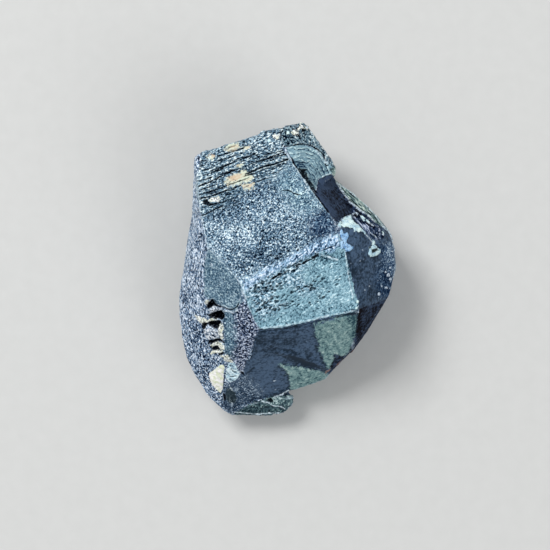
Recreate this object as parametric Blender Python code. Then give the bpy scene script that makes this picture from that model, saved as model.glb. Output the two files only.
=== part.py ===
"""Uraninite crystal: one broken crystal, lying on its flat fracture face.

The crystal grew and broke as one piece, so it is one solid. It is put together as a lapidary
would describe it: a main block with three big faces, and five smaller lumps that the breakage
left on it. Each lump is the convex hull of its corners, so its faces are flat. The lumps are
fused, the underside is split away along a few planes, and scars, pits and growth grooves are
cut in last.

+Y runs along the crystal to its upper end, +X to its right flank, +Z up from the surface that
it lies on. Corners are in millimetres, for a crystal 24 mm long.
"""
import bmesh
import bpy
from mathutils import Matrix, Vector

NAME = "uraninite_crystal"
CRYSTAL_LENGTH = 0.024     # end to end, in metres
DRAWN_LENGTH = 24.0        # the same length as the corners below are drawn, in millimetres
SCALE = CRYSTAL_LENGTH / DRAWN_LENGTH

STEEL_BLUE_BLACK = (0.055, 0.068, 0.085, 1.0)
CRYSTAL_ROUGHNESS = 0.42
CRYSTAL_METALLIC = 0.25

LEDGE = 0.12               # how far a growth ledge stands below the face beside it
FOOT = 0.0                 # the height of the resting face
CEILING = 15.0             # above every part of the crystal
CLEAR = 2.0                # how far a cutter stands out of the face that it cuts
HAIR = 0.002               # corners closer than this are one corner
FLAT = 0.002               # faces that meet at less than this angle, in radians, are one face
BALL_DETAIL = 4            # how finely the balls of the hollows are divided


# ---------------------------------------------------------------- faces as planes

class Face:
    """A flat face through three of its corners, each (x, y, z) in millimetres."""

    def __init__(self, first, second, third):
        self.point = Vector(first)
        self.normal = (Vector(second) - self.point).cross(Vector(third) - self.point)
        self.normal.normalize()
        if self.normal.z < 0:
            self.normal.negate()

    def at(self, x, y, sunk=0.0):
        """The point of this face above (x, y), moved down by sunk."""
        level = self.normal.dot(self.point) - self.normal.x * x - self.normal.y * y
        return (x, y, level / self.normal.z - sunk)


TOP_LEFT = (-7.0, 9.1, 9.0)
RIDGE_LEFT = (-3.75, -0.9, 12.3)
RIDGE_RIGHT = (3.92, 3.0, 12.6)
BROW_LEFT = (-2.22, -4.7, 10.6)
BREAK_FOOT = (3.1, -7.5, 5.65)

FRONT = Face(TOP_LEFT, RIDGE_RIGHT, RIDGE_LEFT)            # the big etched face
BAND = Face(RIDGE_LEFT, RIDGE_RIGHT, BROW_LEFT)            # the bright band below the ridge
BROW_MIDDLE = BAND.at(2.4, -4.0)
BREAK = Face(BROW_LEFT, BROW_MIDDLE, BREAK_FOOT)           # the glassy break under the band
SCAR = Face((1.2, 10.25, 9.35), (3.6, 8.2, 8.3), (2.4, 7.1, 9.2))     # the shell-shaped chip


# ---------------------------------------------------------------- solids from corners

def as_object(name, shape):
    """Put a finished shape into the scene as an object of its own."""
    mesh = bpy.data.meshes.new(name)
    shape.to_mesh(mesh)
    shape.free()
    solid = bpy.data.objects.new(name, mesh)
    bpy.context.scene.collection.objects.link(solid)
    return solid


def hull(name, corners):
    """A closed convex object with these corners."""
    shape = bmesh.new()
    for corner in corners:
        shape.verts.new(Vector(corner) * SCALE)
    result = bmesh.ops.convex_hull(shape, input=shape.verts)
    unused = [item for item in result["geom_interior"] if isinstance(item, bmesh.types.BMVert)]
    bmesh.ops.delete(shape, geom=unused, context="VERTS")
    bmesh.ops.dissolve_limit(shape, angle_limit=FLAT, verts=shape.verts, edges=shape.edges)
    bmesh.ops.recalc_face_normals(shape, faces=shape.faces)
    return as_object(name, shape)


def combine(target, tool, operation):
    """Fuse, cut or trim target with tool, then throw the tool away."""
    boolean = target.modifiers.new(tool.name, "BOOLEAN")
    boolean.operation = operation
    boolean.solver = "EXACT"
    boolean.object = tool
    bpy.context.view_layer.objects.active = target
    bpy.ops.object.modifier_apply(modifier=boolean.name)
    bpy.data.objects.remove(tool, do_unlink=True)


def down_to(height, outline):
    """The corners of an outline at one height."""
    return [(x, y, height) for x, y in outline]


# ---------------------------------------------------------------- the lumps of the crystal

def main_block():
    """The block that carries the big faces."""
    front = [FRONT.at(-7.45, 9.25), FRONT.at(-6.65, 9.75), FRONT.at(-2.6, 10.95),
             FRONT.at(-1.35, 11.2), FRONT.at(3.45, 4.33), FRONT.at(-6.95, 4.3),
             FRONT.at(-6.45, 1.9), FRONT.at(3.8, 3.35), RIDGE_LEFT]
    band = [BROW_LEFT, BROW_MIDDLE, BAND.at(4.1, 2.5), BAND.at(4.55, 1.5), BAND.at(5.15, -0.7),
            BAND.at(5.6, -3.25), BAND.at(-2.95, -3.3)]
    below = [BREAK.at(-3.7, -8.4), BREAK_FOOT, BREAK.at(3.35, -8.1, 0.1), BREAK.at(-0.4, -7.9),
             BREAK.at(5.4, -6.3, 0.9), BREAK.at(3.1, -8.9, 0.5), BREAK.at(0.4, -9.85, 0.4),
             BREAK.at(-2.85, -10.7), BREAK.at(-4.5, -11.5)]
    left = [(-6.65, -2.1, 9.4), (-5.1, -3.2, 10.25), (-3.65, -2.4, 11.55), (-5.1, -6.6, 8.45),
            (-5.2, -9.75, 4.95), (-5.2, -11.5, 3.0), (-6.4, -10.5, 3.6), (-7.6, 9.3, 7.5),
            (-7.8, 4.7, 6.2)]
    right = [(1.2, 10.45, 6.0), (4.0, 7.35, 6.0), (5.9, 5.15, 6.0), (5.4, -6.6, 3.0)]
    foot = down_to(FOOT, [(-7.4, 8.9), (-1.5, 10.6), (1.0, 10.2), (5.6, 4.8), (5.6, -5.0),
                          (3.0, -8.6), (-4.2, -11.2), (-6.2, -10.0), (-7.6, 4.5)])
    return hull("main_block", front + band + below + left + right + foot)


def left_flank():
    """The bulging left flank, which leaves a shallow waist above it."""
    crest = [(-7.05, 4.2, 10.0), (-6.8, 0.2, 10.0), (-6.75, -2.1, 9.2), (-5.9, -4.9, 8.45),
             (-5.25, -6.6, 8.2), (-5.3, -9.7, 4.75), (-5.2, -11.4, 2.9)]
    side = [(-7.85, 4.6, 6.2), (-8.1, 2.7, 6.0), (-8.5, 0.1, 5.8), (-8.82, -1.5, 5.6),
            (-8.9, -3.5, 5.4), (-8.75, -4.8, 5.2), (-8.4, -6.8, 4.9), (-7.8, -8.3, 4.5),
            (-6.95, -9.3, 4.2), (-6.4, -10.5, 3.7), (-5.2, -11.55, 3.1), (-4.5, -12.0, 2.7)]
    inside = [(-4.0, 3.0, 8.0), (-3.5, -8.0, 4.0)]
    foot = down_to(FOOT, [(-7.6, 4.4), (-8.7, -1.5), (-8.8, -3.5), (-7.7, -8.2), (-5.2, -11.4),
                          (-4.4, -11.8), (-3.0, -9.0), (-4.0, 3.0)])
    return hull("left_flank", crest + side + inside + foot)


def upper_shoulder():
    """The crusted shoulder at the upper right, with the shell-shaped chip cut into it."""
    ledge = [FRONT.at(-2.25, 11.25, LEDGE), FRONT.at(-0.55, 11.65, LEDGE),
             FRONT.at(-0.4, 9.65, LEDGE)]
    rim = [(0.75, 11.75, 9.45), (1.25, 12.0, 8.8), (1.65, 11.65, 9.0), (2.15, 10.95, 8.9),
           (3.6, 9.0, 8.4), (3.9, 8.2, 8.1), (3.86, 7.75, 7.9)]
    inner = [(2.25, 6.55, 9.7), (1.4, 7.2, 10.1)]
    foot = down_to(FOOT, [(-2.2, 10.9), (1.2, 11.5), (3.6, 8.9), (3.7, 7.8), (2.0, 6.4),
                          (-1.5, 9.0)])
    shoulder = hull("upper_shoulder", ledge + rim + inner + foot)

    arch = [(-0.15, 10.0), (0.45, 10.22), (1.25, 10.27), (2.05, 9.9), (2.9, 9.0), (3.75, 7.95),
            (5.0, 6.5), (3.0, 5.0), (1.0, 6.5)]
    floor = [SCAR.at(x, y) for x, y in arch]
    chip = hull("shell_chip", floor + down_to(CEILING, arch))
    combine(shoulder, chip, "DIFFERENCE")
    return shoulder


def right_shelf():
    """The low shelf beyond the dark step, with a bevel along its outer edge."""
    crest = [(3.95, 7.25, 6.7), (4.9, 5.65, 7.5), (6.3, 4.3, 7.6), (7.3, 3.6, 7.4)]
    edge = [(3.9, 7.5, 6.2), (4.15, 7.2, 6.3), (5.6, 6.15, 6.2), (6.9, 5.0, 6.0),
            (8.2, 3.5, 5.8), (8.65, 2.5, 5.6)]
    inner = [(3.2, 6.5, 6.4), (4.0, 3.5, 6.6), (6.5, 1.5, 6.5)]
    foot = down_to(FOOT, [(3.7, 7.3), (5.5, 6.0), (6.8, 4.8), (8.1, 3.4), (8.5, 2.4), (6.5, 1.0),
                          (3.0, 5.0)])
    return hull("right_shelf", crest + edge + inner + foot)


def right_block():
    """The dark block on the right flank: a broad face, a bevel above it and one below."""
    top = [(4.0, 3.4, 12.25), (4.6, 1.45, 11.85), (5.2, -0.75, 10.9), (5.75, -3.0, 9.95)]
    broad = [(6.0, 3.1, 10.55), (7.5, 2.2, 8.75), (8.75, 0.9, 7.0), (8.25, -2.0, 6.8)]
    bevel = [(5.1, 4.4, 10.4), (6.85, 3.95, 8.9), (8.25, 3.0, 7.2), (8.78, 1.75, 6.4)]
    side = [(8.9, 0.3, 5.6), (8.6, -0.95, 5.5), (8.25, -2.1, 5.0), (7.55, -3.4, 4.3),
            (6.6, -5.05, 3.6), (5.3, -6.85, 2.8), (5.35, -6.3, 6.2)]
    inside = [(3.0, 2.5, 9.0), (2.0, -4.0, 6.0)]
    foot = down_to(FOOT, [(5.0, 4.2), (8.1, 2.9), (8.8, 0.3), (8.1, -2.2), (5.2, -6.7),
                          (2.5, -5.0), (3.0, 3.0)])
    return hull("right_block", top + broad + bevel + side + inside + foot)


def toe_chip():
    """The thin slab left standing at the lower end, past a small gap."""
    slab = [(0.65, -10.5, 3.1), (0.5, -11.1, 2.8), (-0.2, -11.75, 2.4), (-1.0, -12.0, 2.2),
            (-2.7, -11.85, 2.3), (-4.5, -12.0, 2.4), (-4.3, -11.4, 3.2), (-2.85, -10.9, 3.6),
            (-1.2, -10.45, 3.5)]
    under = [(0.3, -10.4, 2.0), (-0.4, -11.3, 1.3), (-2.8, -11.2, 0.6), (-4.2, -11.2, 0.6),
             (-3.0, -9.0, 1.0), (-1.0, -9.3, 1.6)]
    return hull("toe_chip", slab + under)


def underside():
    """What the breakage left below: everything outside this splits away."""
    rest = down_to(FOOT, [(-5.4, -7.6), (-7.0, -3.0), (-6.4, 6.6), (-1.2, 9.7), (2.3, 8.4),
                          (6.4, 1.7), (5.9, -3.2), (2.9, -7.2), (-2.0, -9.0)])
    girdle = [(-4.7, -12.4, 2.4), (-7.4, -10.6, 3.2), (-9.2, -3.4, 4.2), (-8.1, 9.9, 4.6),
              (-2.4, 11.9, 6.4), (1.2, 12.5, 7.2), (4.4, 9.6, 6.8), (8.9, 4.1, 4.2),
              (9.2, -0.5, 4.6), (6.9, -6.0, 2.6), (3.6, -9.6, 1.8), (-1.4, -12.6, 1.6)]
    rise = [(x, y, CEILING) for x, y, _ in girdle]
    return hull("underside", rest + girdle + rise)


# ---------------------------------------------------------------- scars, pits and grooves

def scoop(number, spot, outward, radius, depth):
    """A ball that leaves a shallow conchoidal hollow round one spot of the surface."""
    centre = Vector(spot) + Vector(outward).normalized() * (radius - depth)
    ball = bmesh.new()
    bmesh.ops.create_icosphere(ball, subdivisions=BALL_DETAIL, radius=radius * SCALE,
                               matrix=Matrix.Translation(centre * SCALE))
    return as_object(f"scoop_{number}", ball)


def pit(number, centre, length, width, depth):
    """A flat-lipped pit: long across the crystal, wedge-shaped below."""
    x, y, z = centre
    ring = [(x - length / 2, y), (x - length / 4, y + width / 2), (x + length / 4, y + width / 2),
            (x + length / 2, y), (x + length / 4, y - width / 2), (x - length / 4, y - width / 2)]
    keel = [(x - length / 4, y, z - depth), (x + length / 4, y, z - depth)]
    return hull(f"pit_{number}", down_to(z, ring) + down_to(z + CLEAR, ring) + keel)


def growth_step(number, start, end, width, depth):
    """A growth step in the front face: steep on its upper side, fading out on its lower one."""
    along = Vector(end) - Vector(start)
    across = Vector((-along.y, along.x)).normalized() * width
    corners = []
    for share, spread in STEP_STATIONS:
        middle = Vector(start) + along * share
        corners += [FRONT.at(*(middle + across * side * spread), -lift)
                    for side in STEP_SIDES for lift in (0.0, CLEAR)]
        corners.append(FRONT.at(*(middle + across * STEP_KEEL * spread), depth * spread))
    return hull(f"growth_step_{number}", corners)


SCOOPS = [                 # spot, outward direction, radius of the ball, depth
    ((-4.4, 9.3, 2.6), (-0.3, 1.0, -0.75), 11.0, 0.55),
    ((7.4, -3.4, 2.4), (0.8, -0.45, -0.7), 13.0, 0.6),
    ((-8.3, 1.6, 2.4), (-1.0, 0.25, -0.8), 12.0, 0.45),
    ((3.6, 8.6, 2.6), (0.9, 0.5, -0.5), 9.0, 0.5),
]

PITS = [                   # centre, length, width, depth
    ((-6.15, -2.6, 9.6), 1.2, 0.65, 1.0),
    ((-5.75, -3.45, 9.6), 1.4, 0.7, 1.1),
    ((-6.05, -4.2, 9.2), 1.8, 0.65, 1.1),
    ((-5.9, -5.75, 8.7), 1.2, 0.45, 1.0),
    ((-5.85, -6.35, 8.5), 0.9, 0.4, 0.9),
]

STEP_STATIONS = [(0.0, 0.25), (0.25, 1.0), (0.65, 0.8), (1.0, 0.2)]    # along, spread
STEP_SIDES = (-0.6, 0.4)   # where a step's mouth begins and ends, in widths
STEP_KEEL = 0.25           # where it is deepest, in widths

GROWTH_STEPS = [           # start, end, width, depth
    ((-2.6, 7.7), (0.7, 8.85), 0.6, 0.24),
    ((-6.8, 7.9), (-3.0, 9.15), 0.5, 0.20),
    ((-7.0, 6.1), (-4.1, 7.15), 0.6, 0.25),
    ((-3.8, 9.2), (-0.9, 10.15), 0.45, 0.16),
    ((-6.9, 4.8), (-2.6, 6.3), 0.5, 0.18),
    ((-2.4, 6.4), (0.6, 7.4), 0.4, 0.12),
    ((-5.7, 9.2), (-3.3, 10.0), 0.4, 0.14),
]


# ---------------------------------------------------------------- the crystal

def crystal_material():
    """Blue-black uraninite with a dull, slightly metallic lustre."""
    material = bpy.data.materials.new("uraninite")
    material.use_nodes = True
    shader = material.node_tree.nodes["Principled BSDF"]
    shader.inputs["Base Color"].default_value = STEEL_BLUE_BLACK
    shader.inputs["Roughness"].default_value = CRYSTAL_ROUGHNESS
    shader.inputs["Metallic"].default_value = CRYSTAL_METALLIC
    return material


def close_hairlines(crystal):
    """Merge corners that the cuts left closer together than a hair."""
    shape = bmesh.new()
    shape.from_mesh(crystal.data)
    bmesh.ops.remove_doubles(shape, verts=shape.verts, dist=HAIR * SCALE)
    bmesh.ops.dissolve_degenerate(shape, edges=shape.edges, dist=HAIR * SCALE)
    shape.to_mesh(crystal.data)
    shape.free()


def stand_on_origin(crystal):
    """Put the middle of the crystal's box over the origin, and its resting face at zero."""
    spots = [vertex.co for vertex in crystal.data.vertices]
    low = Vector([min(spot[axis] for spot in spots) for axis in range(3)])
    high = Vector([max(spot[axis] for spot in spots) for axis in range(3)])
    shift = Vector(((low.x + high.x) / 2, (low.y + high.y) / 2, low.z))
    for vertex in crystal.data.vertices:
        vertex.co -= shift


def build_crystal():
    crystal = main_block()
    crystal.name = NAME
    crystal.data.name = NAME
    for lump in (left_flank, upper_shoulder, right_shelf, right_block, toe_chip):
        combine(crystal, lump(), "UNION")
    combine(crystal, underside(), "INTERSECT")
    for number, (spot, outward, radius, depth) in enumerate(SCOOPS, start=1):
        combine(crystal, scoop(number, spot, outward, radius, depth), "DIFFERENCE")
    for number, (centre, length, width, depth) in enumerate(PITS, start=1):
        combine(crystal, pit(number, centre, length, width, depth), "DIFFERENCE")
    for number, (start, end, width, depth) in enumerate(GROWTH_STEPS, start=1):
        combine(crystal, growth_step(number, start, end, width, depth), "DIFFERENCE")
    close_hairlines(crystal)
    stand_on_origin(crystal)
    crystal.data.materials.append(crystal_material())
    return crystal


for leftover in list(bpy.data.objects):
    bpy.data.objects.remove(leftover, do_unlink=True)
build_crystal()
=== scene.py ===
# %% [markdown]
# # A uraninite crystal
# The object is one broken crystal of black uraninite, 24 mm long. Its big faces are granular and
# catch the light, the places where it broke are dark and glassy, and thin pale crusts cling to
# its edges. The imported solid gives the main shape. This script makes the fine surface on it:
# first the relief, which is real geometry, then one material that changes from face to face.

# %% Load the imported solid
import math
import random

import bpy
import numpy as np
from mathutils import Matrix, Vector, noise


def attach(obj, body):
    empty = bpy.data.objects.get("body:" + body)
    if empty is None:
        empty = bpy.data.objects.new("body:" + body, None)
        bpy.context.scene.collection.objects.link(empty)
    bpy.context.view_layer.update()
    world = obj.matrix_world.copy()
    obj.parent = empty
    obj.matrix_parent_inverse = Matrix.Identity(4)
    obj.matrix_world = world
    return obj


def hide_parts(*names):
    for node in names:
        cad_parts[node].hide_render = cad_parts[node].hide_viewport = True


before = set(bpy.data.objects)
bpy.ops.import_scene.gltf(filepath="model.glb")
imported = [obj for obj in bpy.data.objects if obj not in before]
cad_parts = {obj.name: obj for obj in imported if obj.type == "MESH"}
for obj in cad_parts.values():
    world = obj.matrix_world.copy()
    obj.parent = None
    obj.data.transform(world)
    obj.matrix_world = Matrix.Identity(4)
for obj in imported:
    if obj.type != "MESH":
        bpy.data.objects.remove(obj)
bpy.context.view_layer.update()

MM = 0.001                                  # a millimetre, in metres
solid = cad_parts["uraninite_crystal"]
print("solid:", len(solid.data.polygons), "triangles")

# %% [markdown]
# ## A surface fine enough to carve
# The solid has flat faces and only a thousand triangles. To carve grain into it we need a skin
# of small, even cells. A voxel Remesh gives that, but it leaves the edges stepped. So a Smooth
# evens the steps and a Shrinkwrap lays the skin back on the flat faces, twice over, which leaves
# edges that are only slightly worn.

# %% Copy the solid and give it an even skin
CELL = 0.18                                 # the size of a cell of the skin, in mm
WELD = 0.001                                # corners closer than this are one corner, in mm
WRAPS = 2                                   # rounds of smoothing and laying back
SMOOTH_SHARE = 0.5                          # how far a Smooth pulls a corner to its neighbours
SMOOTH_ROUNDS = 3


def select_only(thing):
    """Make one object the only selected one, and the active one."""
    bpy.ops.object.select_all(action="DESELECT")
    thing.select_set(True)
    bpy.context.view_layer.objects.active = thing


def apply(modifier):
    """Turn a modifier of the active object into real geometry."""
    bpy.ops.object.modifier_apply(modifier=modifier.name)


crystal = bpy.data.objects.new("crystal_surface", solid.data.copy())
bpy.context.scene.collection.objects.link(crystal)
crystal.data.materials.clear()
select_only(crystal)
bpy.ops.object.mode_set(mode="EDIT")
bpy.ops.mesh.select_all(action="SELECT")
bpy.ops.mesh.remove_doubles(threshold=WELD * MM)
bpy.ops.object.mode_set(mode="OBJECT")

remesh = crystal.modifiers.new("even skin", "REMESH")
remesh.mode = "VOXEL"
remesh.voxel_size = CELL * MM
apply(remesh)
for _ in range(WRAPS):
    even = crystal.modifiers.new("even edges", "SMOOTH")
    even.factor = SMOOTH_SHARE
    even.iterations = SMOOTH_ROUNDS
    apply(even)
    wrap = crystal.modifiers.new("flat faces", "SHRINKWRAP")
    wrap.target = solid
    wrap.wrap_method = "NEAREST_SURFACEPOINT"
    apply(wrap)
print("even skin:", len(crystal.data.polygons), "cells")

# %% [markdown]
# ## Where the faces are
# Each face, break and crust is an outline in plan, in millimetres, drawn as a mineralogist would
# map the crystal from above. X runs to the right flank and Y to the upper end. Where a face
# reaches the rim, its outline runs on past it, so that the face bends over the rim as well.

# %% Outlines of the big faces
FRONT = [(-7.0, 9.1), (-7.4, 10.8), (-5.2, 11.9), (-2.6, 12.8), (-0.4, 13.2), (-0.35, 9.8),
         (1.4, 7.3), (3.5, 4.3), (3.95, 3.0), (-3.75, -0.9), (-5.1, 0.6), (-6.4, 1.9),
         (-6.9, 4.3), (-7.5, 6.9)]
BAND = [(-3.75, -0.9), (3.95, 3.0), (4.6, 1.5), (5.2, -0.7), (5.7, -2.6), (5.6, -3.25),
        (3.5, -3.62), (1.4, -4.12), (-0.4, -4.5), (-2.25, -4.7), (-2.95, -3.3)]
RIDGE_STRIP = [(-3.75, -0.9), (1.2, 1.7), (2.2, 2.4), (3.95, 2.9), (4.2, 2.0), (3.6, 1.6),
               (2.5, 1.5), (0.5, 0.65), (-1.2, -0.1), (-2.6, -1.0), (-3.3, -1.6)]
PITTED = [(-4.0, -0.9), (-2.0, 0.1), (0.6, 0.7), (1.6, 1.0), (1.3, 0.3), (0.9, -0.4), (1.4, -1.1),
          (2.4, -1.2), (2.2, -1.7), (0.9, -1.7), (0.3, -1.2), (-0.6, -1.2), (-1.2, -1.7),
          (-1.0, -2.5), (-0.2, -2.6), (-0.6, -3.0), (-2.2, -3.9), (-3.0, -2.3)]
BREAK = [(-2.3, -4.65), (-0.4, -4.5), (1.4, -4.12), (3.5, -3.62), (5.6, -3.25), (6.2, -6.6),
         (4.4, -8.8), (1.4, -10.1), (-2.8, -10.75), (-4.7, -11.8), (-5.3, -11.2),
         (-5.2, -9.6), (-4.1, -8.9), (-3.6, -8.2), (-3.3, -7.3), (-2.95, -6.9), (-2.8, -6.1),
         (-2.65, -5.3)]
STEEP = [(2.5, 7.45), (4.4, 8.2), (5.0, 6.6), (5.3, 5.4), (5.6, 4.8), (5.1, 4.6), (4.4, 4.3),
         (3.9, 3.9), (3.5, 4.3), (2.2, 6.25)]
BLOCK = [(4.0, 3.6), (5.3, 4.55), (7.0, 4.0), (9.2, 3.6), (11.0, 1.0), (10.0, -3.0),
         (5.7, -3.1), (5.65, -2.6), (5.2, -0.7), (4.6, 1.5), (4.1, 3.0)]
LOWER = [(5.7, -3.0), (10.5, -1.6), (9.0, -6.5), (6.0, -10.0), (3.5, -9.0), (3.3, -7.7),
         (3.9, -6.85), (4.6, -6.75), (5.35, -6.1), (5.55, -4.6)]
SHELF = [(3.4, 8.2), (3.9, 7.5), (4.7, 6.2), (5.6, 5.25), (7.0, 4.15), (7.9, 3.5), (8.6, 3.0),
         (10.0, 4.5), (7.0, 7.5), (4.5, 9.0)]
SHELL = [(-0.2, 9.9), (0.4, 10.15), (1.2, 10.22), (2.0, 10.0), (2.6, 9.65), (3.0, 9.15),
         (3.7, 8.3), (3.8, 7.75), (2.5, 7.45), (2.2, 6.3), (1.4, 7.5), (0.5, 8.85)]
SHOULDER = [(-0.4, 13.2), (1.3, 13.6), (3.5, 12.0), (5.4, 9.8), (5.2, 8.0), (3.8, 7.8),
            (3.7, 8.3), (3.0, 9.15), (2.6, 9.65), (2.0, 10.0), (1.2, 10.22), (0.4, 10.15),
            (-0.3, 10.0), (-0.5, 10.9)]
TRIANGLE = [(-6.4, 1.9), (-5.0, 0.6), (-3.75, -0.95), (-3.6, -2.4), (-4.3, -3.2), (-6.0, -2.5),
            (-6.7, -2.0), (-6.75, 0.1)]
NECK = [(-5.2, -3.1), (-4.3, -3.2), (-3.6, -2.4), (-2.95, -3.3), (-2.25, -4.7), (-2.8, -6.0),
        (-3.7, -8.4), (-5.1, -6.9)]
NECK_SMOOTH = [(-5.2, -3.1), (-4.35, -3.2), (-4.2, -4.7), (-4.25, -6.2), (-4.6, -7.1),
               (-5.15, -6.8)]
BLOCK_RIM = [(6.9, 2.2), (8.2, 2.4), (10.0, 2.0), (10.2, -2.5), (7.4, -2.0), (7.05, -0.5),
             (7.3, 0.3), (7.75, 1.2)]
SCALE_HIGH = [(2.2, -4.3), (2.2, -4.7), (2.35, -5.2), (2.55, -5.9), (2.45, -6.3),
              (2.7, -6.7), (3.05, -7.4), (3.4, -8.0), (3.6, -7.55), (3.85, -6.8), (4.4, -6.9),
              (5.0, -6.65), (5.4, -5.5), (5.6, -4.4), (5.55, -3.45), (3.7, -3.8)]
SCALE_LOW = [(-0.75, -7.5), (0.1, -7.6), (0.85, -7.8), (1.7, -8.0), (2.6, -8.2), (3.4, -8.5),
             (3.6, -9.2), (0.8, -10.2), (0.2, -9.65), (0.2, -8.9), (-0.05, -8.2)]
TOE = [(-2.75, -10.83), (-1.85, -10.5), (-0.95, -10.35), (0.4, -10.3), (2.0, -10.5),
       (0.8, -12.5), (-4.4, -13.0), (-4.3, -11.7)]
print("the front has", len(FRONT), "points, the big break", len(BREAK))

# %% [markdown]
# ## Crusts
# Pale crusts sit on some faces: cream and white ones at the edges, a blue one where the block
# begins, tan ones on the growth lines. Two small ledges and a veined facet on the left flank are
# paler than the stone around them as well.

# %% Outlines of the crusts and the pale ledges
CREAM_CRUSTS = [
    [(-1.26, 10.94), (-1.02, 11.06), (-0.68, 10.94), (-0.68, 10.68), (-0.94, 10.59)],
    [(0.3, 11.2), (0.51, 11.36), (0.75, 11.32), (0.91, 11.12), (0.93, 10.97), (0.43, 10.97)],
    [(0.75, 11.47), (0.91, 11.63), (1.07, 11.8), (1.24, 11.72), (1.48, 11.67), (1.72, 11.95),
     (1.8, 11.74), (1.6, 11.39), (1.4, 11.51), (1.15, 11.54), (0.95, 11.37), (0.83, 11.33)],
    [(0.88, 11.95), (1.11, 12.2), (1.2, 11.9), (0.99, 11.75)],
    [(-6.44, 5.72), (-6.17, 5.92), (-5.5, 5.98), (-5.36, 5.78), (-5.7, 5.51), (-6.23, 5.51)],
    [(-6.7, -2.4), (-6.33, -2.31), (-6.27, -2.52), (-6.51, -2.68), (-6.69, -2.58)],
    [(-7.46, -3.55), (-7.18, -3.58), (-6.85, -3.74), (-6.44, -3.85), (-6.1, -3.78),
     (-5.61, -3.8), (-5.62, -3.97), (-6.11, -4.0), (-6.44, -4.12), (-6.61, -4.27),
     (-6.86, -4.36), (-6.78, -4.56), (-6.95, -4.71), (-6.92, -4.36), (-7.11, -4.14), (-7.32, -3.9)],
    [(-5.46, -4.3), (-5.3, -4.18), (-5.12, -4.32), (-5.21, -4.73), (-5.18, -5.3),
     (-5.22, -5.67), (-5.46, -5.39), (-5.53, -4.98), (-5.61, -4.68)],
    [(-6.31, -6.05), (-6.05, -5.8), (-5.73, -5.7), (-5.39, -5.72), (-5.14, -6.04),
     (-5.15, -6.32), (-5.39, -6.29), (-5.64, -5.99), (-6.06, -6.1)],
    [(-6.5, -6.72), (-6.15, -6.49), (-5.81, -6.39), (-5.17, -6.41), (-5.4, -6.62),
     (-5.81, -6.63), (-6.23, -6.78)],
    [(-5.49, -6.88), (-5.23, -6.75), (-4.97, -6.69), (-4.67, -7.07), (-4.43, -7.37),
     (-4.6, -7.41), (-4.84, -7.24), (-5.0, -7.32), (-5.2, -7.03)],
]
CREAM_TRIANGLE = [(-6.41, -8.34), (-6.01, -8.06), (-5.67, -7.75), (-5.33, -7.6), (-5.15, -7.71),
                  (-5.17, -8.22), (-5.22, -8.74), (-5.28, -9.25), (-5.33, -9.69),
                  (-5.52, -10.07), (-5.8, -9.72), (-6.13, -9.38), (-6.34, -8.85)]
WHITE_CRUSTS = [
    [(4.28, 3.59), (4.36, 4.1), (4.6, 4.38), (5.09, 4.55), (5.14, 4.18), (5.3, 3.94),
     (5.54, 3.7), (5.87, 3.46), (6.24, 3.11), (6.19, 2.96), (5.86, 3.14), (5.53, 3.08),
     (5.28, 3.15), (5.2, 3.35), (4.88, 3.46)],
    [(3.97, 3.59), (4.06, 3.92), (4.25, 4.04), (4.29, 3.69), (4.2, 3.35), (4.06, 3.41)],
    [(5.93, 4.43), (6.01, 4.55), (6.15, 4.5), (6.31, 4.29), (6.15, 4.02), (6.03, 4.25)],
    [(6.37, 4.27), (6.56, 4.15), (6.56, 3.84), (6.38, 3.92)],
    [(7.53, 3.27), (7.66, 3.27), (7.85, 2.93), (7.69, 2.92)],
    [(6.78, 2.51), (7.03, 2.42), (6.97, 2.12), (6.81, 1.99), (6.7, 2.19)],
    [(6.43, 1.63), (6.51, 1.93), (6.7, 2.05), (6.95, 2.12), (7.14, 2.02), (7.27, 1.9),
     (7.5, 1.78), (7.48, 1.54), (7.21, 1.32), (6.87, 1.19), (6.56, 1.23), (6.39, 1.43)],
    [(-1.64, 10.58), (-1.4, 10.63), (-1.38, 10.39), (-1.58, 10.31)],
    [(-0.1, 11.28), (0.13, 11.28), (0.15, 11.05), (-0.07, 11.04)],
    [(-1.22, -8.98), (-1.07, -8.88), (-0.95, -8.95), (-1.12, -9.12)],
    [(5.5, -2.35), (5.62, -2.22), (5.74, -2.4), (5.66, -2.62), (5.5, -2.6)],
    [(5.44, -2.85), (5.58, -2.76), (5.66, -2.95), (5.56, -3.12), (5.42, -3.05)],
]
BLUE_CRUST = [(4.12, 3.11), (4.22, 3.37), (4.36, 3.19), (4.4, 2.98), (4.71, 3.04), (4.83, 2.8),
              (4.66, 2.48), (4.66, 2.22), (4.97, 2.15), (5.22, 1.85), (4.95, 1.59), (4.6, 1.56),
              (4.48, 1.9), (4.24, 1.8), (4.14, 2.16), (4.28, 2.48), (4.16, 2.79)]
LEDGES = [
    [(-6.28, -3.04), (-6.01, -2.8), (-5.68, -2.77), (-5.43, -2.93), (-5.25, -3.07),
     (-5.53, -3.18), (-5.86, -3.26), (-6.11, -3.39), (-6.28, -3.32)],
    [(-6.89, -4.77), (-6.53, -4.62), (-6.03, -4.67), (-5.62, -4.66), (-5.46, -5.06),
     (-5.54, -5.33), (-5.88, -5.45), (-6.38, -5.54), (-6.65, -5.26)],
]
VEINED_FACET = [(-5.11, -8.48), (-4.93, -7.88), (-4.76, -7.45), (-4.51, -7.28), (-4.27, -7.54),
                (-4.08, -7.96), (-3.9, -8.39), (-4.13, -8.75), (-4.46, -9.01), (-4.79, -9.05),
                (-5.03, -8.75)]
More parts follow.
